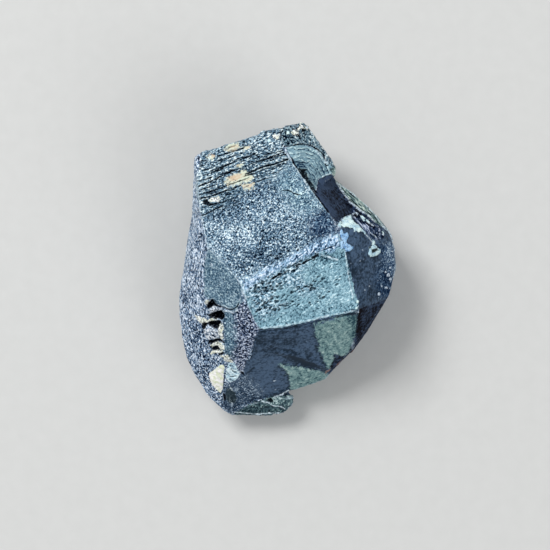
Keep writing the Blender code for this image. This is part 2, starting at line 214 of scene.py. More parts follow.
TAN_CRUSTS = [
    [(-5.12, 9.84), (-4.65, 10.32), (-3.97, 10.38), (-3.84, 10.03), (-4.24, 9.7), (-4.78, 9.7)],
    [(-3.62, 10.03), (-3.17, 10.12), (-3.04, 9.89), (-3.5, 9.77)],
    [(-4.15, 8.45), (-3.83, 8.78), (-3.45, 8.62), (-3.83, 8.3)],
    [(-5.1, 7.1), (-4.84, 7.5), (-4.1, 7.9), (-3.43, 8.15), (-3.05, 7.75), (-2.82, 7.52),
     (-2.96, 7.11), (-3.56, 7.12), (-4.23, 6.9), (-4.9, 6.8)],
    [(-3.76, 6.85), (-3.22, 6.98), (-2.74, 7.06), (-2.73, 6.7), (-3.22, 6.52), (-3.62, 6.62)],
    [(-6.53, 9.24), (-5.99, 9.37), (-5.92, 9.03), (-6.39, 8.97)],
]
print("crusts:", len(CREAM_CRUSTS), "cream,", len(WHITE_CRUSTS), "white,", len(TAN_CRUSTS), "tan")

# %% [markdown]
# ## Zones inside a face
# Some zones have no sharp border. The front has a striated upper third, a smoother stretch beside
# the steep step, and a dim patch near the right end of the ridge. Others are small places with a
# finish of their own, such as the crevice above the block, or places where crumbs gather later.

# %% Outlines of the zones
CREVICE = [(5.14, 4.6), (5.3, 5.3), (5.65, 5.25), (6.3, 4.72), (7.0, 4.16), (7.5, 3.7),
           (7.9, 2.9), (7.6, 2.55), (7.1, 2.5), (6.75, 2.65), (6.3, 3.1), (5.9, 3.5),
           (5.38, 3.95)]
FOOT = [(-5.3, -11.4), (-5.15, -9.6), (-3.9, -8.7), (-3.4, -8.4), (-2.5, -9.5), (-1.9, -10.5),
        (-2.75, -10.9), (-4.4, -11.9)]
DULL_PATCH = [(-4.96, -9.53), (-4.63, -9.64), (-4.3, -9.99), (-4.2, -10.52), (-4.32, -10.94),
              (-4.76, -10.92), (-5.14, -10.57), (-5.13, -10.11)]
KNOB = [(0.85, 11.6), (1.1, 12.0), (1.45, 12.2), (1.9, 11.6), (1.95, 11.2), (1.6, 11.2),
        (1.1, 11.5)]
STRIATED = [(-8.5, 10.0), (-5.0, 12.5), (0.5, 13.5), (0.3, 8.9), (-0.9, 7.6), (-2.9, 6.7),
            (-5.0, 5.2), (-8.5, 3.8)]
DIM = [(1.6, 4.2), (2.8, 4.9), (4.5, 4.0), (4.3, 2.9), (2.5, 2.5), (1.6, 2.8)]
SMOOTH_FRONT = [(-0.6, 9.2), (1.3, 7.2), (2.9, 5.0), (1.9, 4.6), (0.4, 4.9), (-0.8, 6.8)]
print("the striated zone has", len(STRIATED), "points, the crevice", len(CREVICE))

# %% [markdown]
# ## How far inside its outline a point lies
# For every corner of the skin we want one number per face: its distance to the outline in
# millimetres, positive inside and negative outside. Zero is the border. Such a number can be
# blurred, shifted and roughened at will, which a plain yes or no cannot. Numpy works it out for
# all corners at once.

# %% Measure the skin against an outline
mesh = crystal.data


def read_rows(elements, field):
    """The places or the normals of all corners or cells of the skin, as rows of x, y and z."""
    values = np.empty(len(elements) * 3, np.float32)
    elements.foreach_get(field, values)
    return values.reshape(-1, 3).astype(float)


def distance_to_stretch(start, end, spots):
    """Plan distance from each spot to a straight stretch, in mm."""
    along = np.array(end) - np.array(start)
    share = np.clip((spots[:, :2] - start) @ along / (along @ along), 0.0, 1.0)
    offset = spots[:, :2] - start - share[:, None] * along
    return np.hypot(offset[:, 0], offset[:, 1])


def depth_inside(outline, spots):
    """How far inside a plan outline each spot is, in mm; negative outside it."""
    x, y = spots[:, 0], spots[:, 1]
    inside = np.zeros(len(spots), bool)
    nearest = np.full(len(spots), np.inf)
    for (x1, y1), (x2, y2) in zip(outline, outline[1:] + outline[:1]):
        nearest = np.minimum(nearest, distance_to_stretch((x1, y1), (x2, y2), spots))
        if y1 != y2:
            crosses = (y1 > y) != (y2 > y)
            inside ^= crosses & (x < x1 + (y - y1) / (y2 - y1) * (x2 - x1))
    return np.where(inside, nearest, -nearest)


print("skin to measure:", len(mesh.vertices), "corners")

# %% [markdown]
# ## More cells where the eye goes
# The granular faces on the upper side have the finest relief. Their cells are divided once more.
# The broken faces are smooth inside, and the underside is never carved finely, so they keep the
# larger cells, and the whole stays light enough.

# %% Divide the cells of the granular upper side
FINE_LEAN = 0.3                             # the least upward lean of a cell that is divided
BREAK_MARGIN = 0.5                          # mm inside a break from where cells stay large

centres = read_rows(mesh.polygons, "center") / MM
upward = read_rows(mesh.polygons, "normal")[:, 2]
plain = np.maximum(depth_inside(BREAK, centres), depth_inside(LOWER, centres)) > BREAK_MARGIN
fine = (upward > FINE_LEAN) & ~plain
bpy.ops.object.mode_set(mode="EDIT")
bpy.ops.mesh.select_all(action="DESELECT")
bpy.ops.object.mode_set(mode="OBJECT")
mesh.polygons.foreach_set("select", fine)
bpy.ops.object.mode_set(mode="EDIT")
bpy.ops.mesh.subdivide(number_cuts=1)
bpy.ops.object.mode_set(mode="OBJECT")
print("fine cells:", int(fine.sum()), "divided, skin now has", len(mesh.vertices), "corners")

# %% [markdown]
# ## A random wander
# A border on a broken stone is never a ruled line, and no relief on it is even. So two smooth
# random numbers belong to every corner, one that changes slowly over the skin and one that
# changes fast. They are Blender's own noise, which gives the same numbers in each run.

# %% Let every corner wander
BROAD_SIZE, SMALL_SIZE = 1.1, 0.35          # mm over which the two wanders change
BROAD_SWING, SMALL_SWING = 0.10, 0.07       # mm by which they shift a border

spots = read_rows(mesh.vertices, "co") / MM
normals = read_rows(mesh.vertices, "normal")


def wander(size, start):
    """Smooth random numbers, about -1 to 1, that change over the given distance in mm."""
    shift = Vector((start * 7.3, start * 3.1, start * 5.7))
    return np.array([noise.noise(Vector(spot) / size + shift) for spot in spots])


broad_wander = wander(BROAD_SIZE, 1)
small_wander = wander(SMALL_SIZE, 2)
ragged = BROAD_SWING * broad_wander + SMALL_SWING * small_wander
print(f"borders wander by {np.abs(ragged).mean():.3f} mm, at most {np.abs(ragged).max():.3f} mm")

# %% [markdown]
# ## Reach of each face
# The reach of a face is the distance to its outline with the wander added. A face that ends at
# the rim must not show again on the underside, which lies below the same outline. So the reach
# also falls off where the skin turns downwards, and for a crust already where it becomes a wall.

# %% Work out the reach of every face
REACH_LIMIT = 1.5                           # mm beyond which a reach needs no more detail
OVERHANG = -0.25                            # the least upward lean of a face
WALL = 0.06                                 # the least upward lean of what lies on a face


def reach(*outlines, raggedness=1.0, lean=OVERHANG):
    """How far each corner lies inside any of the outlines, with a wandering border."""
    deepest = np.max([depth_inside(outline, spots) for outline in outlines], axis=0)
    deepest = np.minimum(deepest + raggedness * ragged, normals[:, 2] - lean)
    return np.clip(deepest, -REACH_LIMIT, REACH_LIMIT)


faces = {
    "front": reach(FRONT, raggedness=0.3),
    "striated": reach(STRIATED),
    "dim": reach(DIM),
    "smooth_front": reach(SMOOTH_FRONT),
    "ridge_strip": reach(RIDGE_STRIP, raggedness=0.8),
    "band": reach(BAND, raggedness=0.3),
    "pitted": reach(PITTED),
    "dark_break": reach(BREAK, BLOCK, raggedness=0.6),
    "black": reach(STEEP, LOWER, raggedness=0.5),
    "block_rim": reach(BLOCK_RIM),
    "crevice": reach(CREVICE, raggedness=0.8, lean=WALL),
    "scale": reach(SCALE_HIGH, SCALE_LOW),
    "toe": reach(TOE, raggedness=0.6),
    "foot": reach(FOOT),
    "dull_patch": reach(DULL_PATCH, raggedness=0.6),
    "shelf": reach(SHELF, raggedness=0.3, lean=WALL),
    "shell": reach(SHELL, raggedness=0.3),
    "shoulder": reach(SHOULDER, raggedness=0.5),
    "smooth": reach(TRIANGLE, raggedness=0.4),
    "neck": reach(NECK),
    "neck_smooth": reach(NECK_SMOOTH),
    "cream_crust": reach(*CREAM_CRUSTS, raggedness=0.4, lean=WALL),
    "cream_patch": reach(CREAM_TRIANGLE, raggedness=0.3),
    "white_crust": reach(*WHITE_CRUSTS, raggedness=0.8, lean=WALL),
    "blue_crust": reach(BLUE_CRUST, raggedness=0.5),
    "ledge": reach(*LEDGES, raggedness=0.5),
    "tan_crust": reach(*TAN_CRUSTS, lean=WALL),
    "veined": reach(VEINED_FACET, raggedness=0.5),
}
for name, values in faces.items():
    print(f"{name}: {int((values > 0).sum())} corners")


# %% [markdown]
# ## Relief by weights
# Blender's Displace modifier moves each corner along its normal, by its strength times the
# corner's weight in a vertex group. So one helper makes every kind of relief: it takes weights
# between 0 and 1, and optionally a cloudy texture that breaks them up. Each modifier is applied
# at once, because the next relief builds on the last.

# %% A helper that raises or sinks the skin
FAINT = 0.004                               # weights below this are left out


def ramp(values, start, end):
    """0 below start, 1 above end, and a smooth rise between them."""
    share = np.clip((values - start) / (end - start), 0.0, 1.0)
    return share * share * (3.0 - 2.0 * share)


def press(title, height, weights, grain=None, drawn_out=1.0, turned=0.0):
    """Raise the skin by height in mm where the weights say, or sink it by a negative one.

    With a grain size in mm, a cloudy texture moves it both ways instead. The texture can be
    drawn out by a factor, along a line that is turned by an angle.
    """
    group = crystal.vertex_groups.new(name=title)
    for number in np.flatnonzero(weights > FAINT):
        group.add([int(number)], float(weights[number]), "REPLACE")
    relief = crystal.modifiers.new(title, "DISPLACE")
    relief.vertex_group = group.name
    relief.strength = height * MM
    relief.mid_level = 0.0
    guide = None
    if grain:
        relief.texture = bpy.data.textures.new(title, "CLOUDS")
        relief.texture.noise_scale = grain * MM
        relief.texture.noise_depth = 2
        relief.mid_level = 0.5
        guide = bpy.data.objects.new(title, None)
        guide.rotation_euler.z = turned
        guide.scale.x = drawn_out
        bpy.context.scene.collection.objects.link(guide)
        relief.texture_coords = "OBJECT"
        relief.texture_coords_object = guide
        bpy.context.view_layer.update()
    select_only(crystal)
    apply(relief)
    crystal.vertex_groups.remove(crystal.vertex_groups[title])
    if guide:
        bpy.data.objects.remove(guide)
    print(f"{title}: {int((weights > FAINT).sum())} corners, {height} mm")


# %% [markdown]
# ## What stands out
# Comparing a corner with the middle of its neighbours tells whether the skin is convex or hollow
# there. Measured now, on the plain skin, it finds the edges of the crystal. Measured again after
# the carving, it will tell the crest of a grain from the seam beside it.

# %% Measure how far each corner stands out
EDGE_ROUNDS = 3                             # rounds of averaging
EDGE_FULL = 0.009                           # mm that a fully sharp edge stands out by

ends = np.empty(len(mesh.edges) * 2, np.int32)
mesh.edges.foreach_get("vertices", ends)
ends = ends.reshape(-1, 2)
neighbours = np.bincount(ends.ravel(), minlength=len(spots))


def averaged(values):
    """The mean of each corner's neighbours."""
    total = np.bincount(ends[:, 0], values[ends[:, 1]], len(spots))
    total += np.bincount(ends[:, 1], values[ends[:, 0]], len(spots))
    return total / neighbours


def standing_out(rounds):
    """How far each corner stands out from its neighbours, in mm, after rounds of averaging."""
    places = read_rows(mesh.vertices, "co") / MM
    facing = read_rows(mesh.vertices, "normal")
    bulge = sum((places[:, axis] - averaged(places[:, axis])) * facing[:, axis]
                for axis in range(3))
    for _ in range(rounds):
        bulge = 0.5 * bulge + 0.5 * averaged(bulge)
    return bulge


# The edges found here are chipped further down, which is real wear, and the material paints them
# pale, which is a painted highlight.
wear_and_highlight = np.clip(standing_out(EDGE_ROUNDS) / EDGE_FULL, 0.0, 1.0)
print("worn edges:", int((wear_and_highlight > 0.5).sum()), "corners")

# %% [markdown]
# ## Grain and growth lines
# The crystal grew with a granular skin: grains about 0.2 mm wide on the faces, and gentle lumps
# over a millimetre or two. The broken faces are smooth, so they get only a trace of it. The
# upper third of the front has growth lines that all rise to the right by the same angle: thin
# grooves a third of a millimetre apart, each broken off and taken up again. The relief fades out
# towards the resting face, which has to stay flat.

# %% Roughen the granular faces
GROWTH_ANGLE = math.radians(17)
LUMP_HEIGHT, LUMP_SIZE = 0.14, 1.3          # heights and sizes of the grains, in mm
GRAIN_HEIGHT, GRAIN_SIZE = 0.12, 0.26
FINE_HEIGHT, FINE_SIZE = 0.07, 0.14
GROWTH_HEIGHT, GROWTH_SIZE = 0.10, 0.16
GROWTH_STRETCH = 3.0                        # how far growth grains are drawn out
SMOOTH_CALM, HIDDEN_CALM = 0.8, 0.45        # the share of grain that such a face lacks
LINE_SPACING = 0.37                         # between two growth lines, in mm
LINE_RUN = 1.5                              # how long a growth line goes on, about, in mm
LINE_DEPTH = 0.12

glassy = np.maximum(ramp(faces["dark_break"], 0, 0.1), ramp(faces["black"], 0, 0.1))
smooth = np.max([ramp(faces[name], 0, 0.15) for name in ("smooth", "shell", "scale", "shelf")], 0)
striated = ramp(faces["striated"], -0.8, 0.6) * ramp(faces["front"], -0.1, 0.1)
off_floor = ramp(spots[:, 2], 0.05, 0.9)
hidden = 1.0 - ramp(normals[:, 2], -0.3, 0.1)
granular = 1.0 - np.maximum(glassy, SMOOTH_CALM * smooth)
granular = np.maximum(granular - HIDDEN_CALM * hidden, 0.0) * off_floor

press("gentle lumps", LUMP_HEIGHT, (0.25 + 0.75 * granular) * off_floor, grain=LUMP_SIZE)
press("grains", GRAIN_HEIGHT, granular, grain=GRAIN_SIZE)
press("fine grains", FINE_HEIGHT, granular, grain=FINE_SIZE)
press("growth grain", GROWTH_HEIGHT, striated, grain=GROWTH_SIZE, drawn_out=GROWTH_STRETCH,
      turned=GROWTH_ANGLE)

run = spots[:, 0] * math.cos(GROWTH_ANGLE) + spots[:, 1] * math.sin(GROWTH_ANGLE)
rise_across = spots[:, 1] * math.cos(GROWTH_ANGLE) - spots[:, 0] * math.sin(GROWTH_ANGLE)
rise_across = (rise_across + 0.07 * broad_wander) / LINE_SPACING
line_number = np.floor(rise_across)
off_line = np.abs(rise_across - line_number - 0.5) * LINE_SPACING
breaks = np.array([noise.noise(Vector((place / LINE_RUN, number * 7.3, 0.5)))
                   for place, number in zip(run, line_number)])
growth_lines = (1.0 - ramp(off_line, 0.02, 0.09)) * ramp(breaks, -0.08, 0.12) * striated
press("growth lines", -LINE_DEPTH, growth_lines)

# %% [markdown]
# ## Single grooves and holes
# A few grooves are much deeper than the rest and have their own course. Each is a chain of
# points. The holes, most of them along the crest of the left flank, each have an outline.

# %% Courses of the grooves and outlines of the holes
# The darkness of each groove is how strong the painted shade in it is.
GROOVES = [                                 # course, width, depth, darkness
    ([(-6.18, 8.08), (-5.05, 8.48), (-4.08, 8.88), (-2.95, 9.29), (-1.99, 9.48)], 0.15, 0.14, 0.9),
    ([(-3.11, 8.56), (-2.15, 8.93), (-1.02, 9.29), (-0.29, 9.61)], 0.15, 0.14, 0.9),
    ([(-3.4, 7.8), (-1.9, 8.45), (-0.8, 8.68), (-0.05, 9.0)], 0.22, 0.22, 1.0),
    ([(-1.45, 8.88), (-0.85, 9.06)], 0.14, 0.12, 0.8),
    ([(-7.14, 6.87), (-6.18, 7.23), (-5.21, 7.76), (-4.4, 8.13), (-3.76, 8.32)], 0.17, 0.16, 1.0),
    ([(-7.14, 6.15), (-6.34, 6.36), (-5.37, 6.71), (-4.24, 7.11), (-3.11, 7.52)], 0.15, 0.12, 0.9),
    ([(-7.06, 5.83), (-5.85, 6.16), (-4.89, 6.53), (-3.76, 6.9)], 0.14, 0.12, 0.8),
    ([(-2.79, 7.52), (-1.83, 7.76), (-0.7, 8.0)], 0.13, 0.08, 0.6),
    ([(-6.98, 4.45), (-6.5, 4.61), (-5.85, 5.02), (-5.21, 5.26)], 0.14, 0.10, 0.9),
    ([(-0.4, 6.5), (0.1, 6.45), (0.5, 6.22), (1.1, 6.05)], 0.13, 0.10, 0.9),
    ([(0.67, 0.38), (1.2, 0.58), (1.73, 0.87), (2.45, 1.17)], 0.16, 0.16, 0.8),
    ([(-1.36, -0.67), (-0.97, -0.41), (-0.61, -0.28)], 0.15, 0.14, 0.8),
    ([(2.3, 1.5), (3.0, 1.72), (3.75, 2.0)], 0.12, 0.07, 0.6),
    ([(2.6, 1.1), (3.2, 0.92), (4.0, 0.74)], 0.12, 0.05, 0.5),
    ([(0.33, 9.09), (0.65, 8.51), (0.97, 8.1), (1.29, 7.61), (1.53, 7.29), (1.92, 6.64),
      (3.27, 4.75)], 0.19, 0.14, 1.0),
    ([(4.6, 6.38), (5.09, 5.89), (5.58, 5.49), (6.07, 5.08), (6.57, 4.76)], 0.12, 0.08, 0.8),
    ([(4.9, 5.5), (5.48, 5.0), (5.89, 4.74), (6.38, 4.42), (6.85, 3.9), (7.4, 3.6)],
     0.20, 0.14, 0.7),
    ([(-0.22, 10.06), (0.59, 10.15), (0.99, 10.2), (1.4, 10.2), (1.8, 10.1), (2.12, 10.02),
      (2.53, 9.81), (2.78, 9.59), (2.98, 9.31), (3.14, 8.91)], 0.14, 0.12, 0.85),
    ([(0.67, 8.77), (0.99, 8.76), (1.39, 8.77), (1.8, 8.82)], 0.12, 0.08, 0.6),
    ([(1.88, 8.72), (2.12, 8.41), (2.45, 8.17), (2.86, 8.06), (3.27, 8.11)], 0.11, 0.06, 0.5),
    ([(1.72, 8.31), (2.04, 8.0), (2.45, 7.76), (3.02, 7.78)], 0.11, 0.06, 0.4),
    ([(2.98, 8.71), (3.19, 8.52), (3.34, 8.59)], 0.12, 0.07, 0.9),
    ([(-5.5, -2.8), (-5.27, -2.89), (-4.94, -3.04), (-4.62, -3.08), (-4.3, -3.04),
      (-4.05, -2.83), (-3.97, -2.61)], 0.14, 0.12, 1.0),
    ([(0.59, 10.95), (0.83, 10.98), (1.03, 10.78)], 0.13, 0.14, 1.0),
    ([(1.64, 11.47), (1.8, 11.32), (1.88, 11.07)], 0.14, 0.12, 0.9),
    ([(1.36, 11.3), (1.4, 10.98), (1.35, 10.65)], 0.12, 0.08, 0.5),
    ([(-0.59, 11.37), (-0.54, 10.96), (-0.54, 10.55)], 0.12, 0.10, 0.8),
    ([(-4.94, -8.22), (-4.62, -8.65), (-4.21, -8.56)], 0.11, 0.06, 0.7),
    ([(-4.68, -7.62), (-4.53, -8.13), (-4.12, -8.22)], 0.11, 0.06, 0.7),
    ([(-2.2, -4.85), (-0.4, -4.67), (1.4, -4.29), (3.5, -3.79), (5.5, -3.39)], 0.14, 0.05, 0.35),
]
HOLES = [                                   # depth, outline
    (0.40, [(-6.6, -2.68), (-6.43, -2.6), (-6.26, -2.46), (-6.08, -2.22), (-5.92, -2.46),
            (-5.78, -2.64), (-5.35, -2.85), (-5.51, -2.91), (-5.77, -2.8), (-6.02, -2.74),
            (-6.17, -2.86), (-6.42, -3.06), (-6.58, -2.96)]),
    (0.55, [(-6.45, -3.57), (-6.26, -3.43), (-5.95, -3.35), (-5.61, -3.2), (-5.27, -3.11),
            (-5.11, -3.27), (-5.12, -3.69), (-5.32, -3.91), (-5.53, -3.74), (-6.27, -3.81)]),
    (0.55, [(-6.27, -4.0), (-5.94, -3.93), (-5.36, -3.98), (-5.44, -4.33), (-5.62, -4.61),
            (-5.95, -4.66), (-6.28, -4.5), (-6.46, -4.31)]),
    (0.30, [(-6.96, -4.18), (-6.69, -4.05), (-6.43, -4.19), (-6.57, -4.41), (-6.79, -4.7),
            (-6.93, -4.71)]),
    (0.40, [(-6.49, -5.67), (-6.13, -5.58), (-5.71, -5.44), (-5.46, -5.43), (-5.24, -5.61),
            (-5.1, -5.81), (-5.47, -5.67), (-5.81, -5.73), (-6.22, -5.94), (-6.46, -5.87)]),
    (0.35, [(-6.25, -6.36), (-6.14, -6.2), (-5.89, -6.02), (-5.64, -6.0), (-5.46, -6.3),
            (-5.73, -6.46), (-6.06, -6.44)]),
    (0.25, [(-5.6, -6.64), (-5.31, -6.54), (-5.1, -6.61), (-5.4, -6.79), (-5.6, -6.8)]),
    (0.30, [(-6.84, 5.72), (-6.5, 5.87), (-6.4, 5.6), (-6.2, 5.46), (-5.96, 5.42),
            (-6.23, 5.29), (-6.77, 5.43)]),
    (0.30, [(-1.77, -10.72), (-1.49, -10.5), (-1.21, -10.61), (-1.1, -10.84), (-1.43, -10.86)]),
    (0.15, [(6.64, 1.78), (6.92, 1.86), (7.18, 1.92), (7.27, 1.7), (6.98, 1.5), (6.68, 1.44)]),
    (0.10, [(6.5, 1.92), (6.68, 2.02), (6.66, 1.88), (6.54, 1.8)]),
    (0.22, [(1.05, 11.53), (1.24, 11.46), (1.42, 11.46), (1.46, 11.28), (1.17, 11.26)]),
    (0.15, [(-5.31, -10.1), (-5.11, -10.27), (-5.11, -10.75), (-5.29, -10.67)]),
    (0.12, [(-3.9, -8.1), (-3.6, -8.28), (-3.45, -8.57), (-3.75, -8.42)]),
    (0.30, [(0.95, 8.28), (1.57, 8.24), (1.64, 7.54), (1.99, 7.0), (2.47, 6.2), (2.25, 6.33),
            (1.53, 7.25), (1.2, 7.86)]),
]
print("grooves:", len(GROOVES), "and holes:", len(HOLES))

# %% [markdown]
# ## How they are cut
# The weight of a groove is highest on its chain and fades out to its sides, and the random wander
# opens and closes it along the way. The strongest weight of all the grooves, pits and holes is kept
# as one number, and the material darkens them by it as painted shade.

# %% Cut the grooves and the holes
# How dark the painted shade in the growth lines is.
LINE_DARKNESS = 0.65                        # of the growth lines
upper = ramp(normals[:, 2], 0.0, 0.18)      # 1 on the upper side, 0 on walls and below


def distance_to_chain(chain, spots):
    """Plan distance from each spot to a chain of points."""
    stretches = zip(chain, chain[1:])
    return np.min([distance_to_stretch(a, b, spots) for a, b in stretches], axis=0)


def line_weights(chain, width):
    """Weights of a line: full on its course, fading out to its sides, and uneven along it."""
    off = distance_to_chain(chain, spots) + 0.25 * width * small_wander
    return (1.0 - ramp(off, 0.1 * width, 0.6 * width)) * ramp(broad_wander, -1.2, 0.0) * upper


# This number is painted shade: the material darkens the growth lines, grooves, holes and pits by
# it.
painted_shade = LINE_DARKNESS * growth_lines
for number, (chain, width, depth, darkness) in enumerate(GROOVES, start=1):
    weights = line_weights(chain, width)
    painted_shade = np.maximum(painted_shade, darkness * weights)
    press(f"groove {number}", -depth, weights)
for number, (depth, outline) in enumerate(HOLES, start=1):
    inside = depth_inside(outline, spots) + 0.04 * small_wander
    press(f"hole {number}", -depth, ramp(inside, -0.05, 0.12) * upper)
    painted_shade = np.maximum(painted_shade, ramp(inside, -0.09, 0.07) * upper)

# %% [markdown]
# ## Rows of pits on the band
# The bright band is peppered with small pits. They lie in rows that run with the ridge, so each
# row is a chain, and seeded random numbers scatter the pits along it. A pit is longer than wide,
# and lies the way the rows run.

# %% Peck the pits
PIT_ROWS = [                                # course, number of pits
    ([(-0.9, -0.4), (0.4, 0.2), (1.2, 0.7), (2.5, 1.2)], 44),
    ([(-2.5, -1.9), (-1.7, -1.6), (-1.3, -1.5), (-0.5, -1.2)], 34),
    ([(-2.9, -1.6), (-2.0, -1.0), (-0.6, -0.3)], 26),
    ([(0.5, -1.5), (1.3, -1.4), (2.1, -1.3)], 18),
    ([(-1.4, -3.0), (-0.4, -3.0), (0.1, -2.8), (0.7, -2.4)], 30),
    ([(-2.4, -3.4), (-1.6, -2.6), (-0.8, -2.1)], 20),
    ([(-1.4, 1.1), (-0.5, 1.2), (0.1, 1.7)], 12),
    ([(-2.6, -2.6), (0.0, -2.0), (3.0, -0.4)], 30),
    ([(1.8, -2.6), (3.2, -1.9), (4.2, -0.6)], 12),
]
PIT_SIZE = (0.05, 0.14)                     # half the width of a pit, smallest and largest, in mm
PIT_LENGTH = 1.8                            # times the width
PIT_DEPTH = 0.14
# How dark the painted shade in a pit is.
PIT_DARKNESS = 0.5
PIT_SCATTER = 0.26                          # how far a pit may lie off its row, in mm
PIT_ANGLE = math.radians(24)


def point_along(chain, share):
    """The point of a chain at a share of its length."""
    lengths = [math.dist(a, b) for a, b in zip(chain, chain[1:])]
    left = share * sum(lengths)
    for (a, b), length in zip(zip(chain, chain[1:]), lengths):
        if left <= length:
            return [start + (end - start) * left / length for start, end in zip(a, b)]
        left -= length
    return list(chain[-1])


def blot(x, y, size, length=1.0, angle=0.0):
    """Weights of a round or long spot: full inside, and none outside its size."""
    along = (spots[:, 0] - x) * math.cos(angle) + (spots[:, 1] - y) * math.sin(angle)
    across = (spots[:, 1] - y) * math.cos(angle) - (spots[:, 0] - x) * math.sin(angle)
    off = np.hypot(along / length, across) / size + 0.3 * small_wander
    return (1.0 - ramp(off, 0.45, 1.0)) * upper


chance = random.Random(7)
pits = np.zeros(len(spots))
for chain, count in PIT_ROWS:
    for _ in range(count):
        x, y = point_along(chain, chance.random())
        x += chance.uniform(-PIT_SCATTER, PIT_SCATTER)
        y += chance.uniform(-PIT_SCATTER, PIT_SCATTER)
        pits = np.maximum(pits, blot(x, y, chance.uniform(*PIT_SIZE), PIT_LENGTH, PIT_ANGLE))
press("pits", -PIT_DEPTH, pits)
painted_shade = np.maximum(painted_shade, PIT_DARKNESS * pits)
print("pits:", sum(count for chain, count in PIT_ROWS))

# %% [markdown]
# ## Conchoidal breaks
# Uraninite breaks like thick glass, in shell-shaped faces with ripples that run round the point
# where the break began. A ripple is a wave of the distance to that point. The shell-shaped scar
# at the upper right has the same kind of ripples, which follow its arched border.

# %% Ripple the broken faces
BREAK_START, BLOCK_START = (-1.1, -9.0), (5.4, 3.6)     # where the two breaks began
BREAK_WAVE, BLOCK_WAVE = 0.75, 1.1          # from one ripple to the next, in mm
BREAK_HEIGHT, BLOCK_HEIGHT = 0.035, 0.05    # of the ripples
LAYER_WAVE, LAYER_HEIGHT = 0.34, 0.06       # of the layers in the scar
ARCH = [(-0.23, 10.0), (0.63, 10.15), (1.45, 10.2), (2.28, 9.97), (2.86, 9.45), (3.7, 8.0)]


def distance_to_point(point):
    """Plan distance from each corner to a point, in mm."""
    return np.hypot(spots[:, 0] - point[0], spots[:, 1] - point[1])


def ripples(distance, wave, outline):
    """Weights of ripples that run round a point, inside an outline."""
    ripple = 0.5 + 0.5 * np.sin(2 * math.pi * distance / wave)
    return ripple * ramp(depth_inside(outline, spots), 0.1, 0.6) * upper


from_start = distance_to_point(BREAK_START)
break_ripples = ripples(from_start + 0.25 * broad_wander, BREAK_WAVE, BREAK)
press("break ripples", BREAK_HEIGHT, break_ripples * ramp(from_start, 0.8, 2.0))

from_arch = distance_to_chain(ARCH, spots)
layers = (from_arch + 0.12 * broad_wander) / LAYER_WAVE % 1.0
press("shell layers", LAYER_HEIGHT, layers * ramp(faces["shell"], 0.02, 0.15))

from_block = distance_to_point(BLOCK_START) + 0.3 * broad_wander
press("block ripples", BLOCK_HEIGHT, ripples(from_block, BLOCK_WAVE, BLOCK))
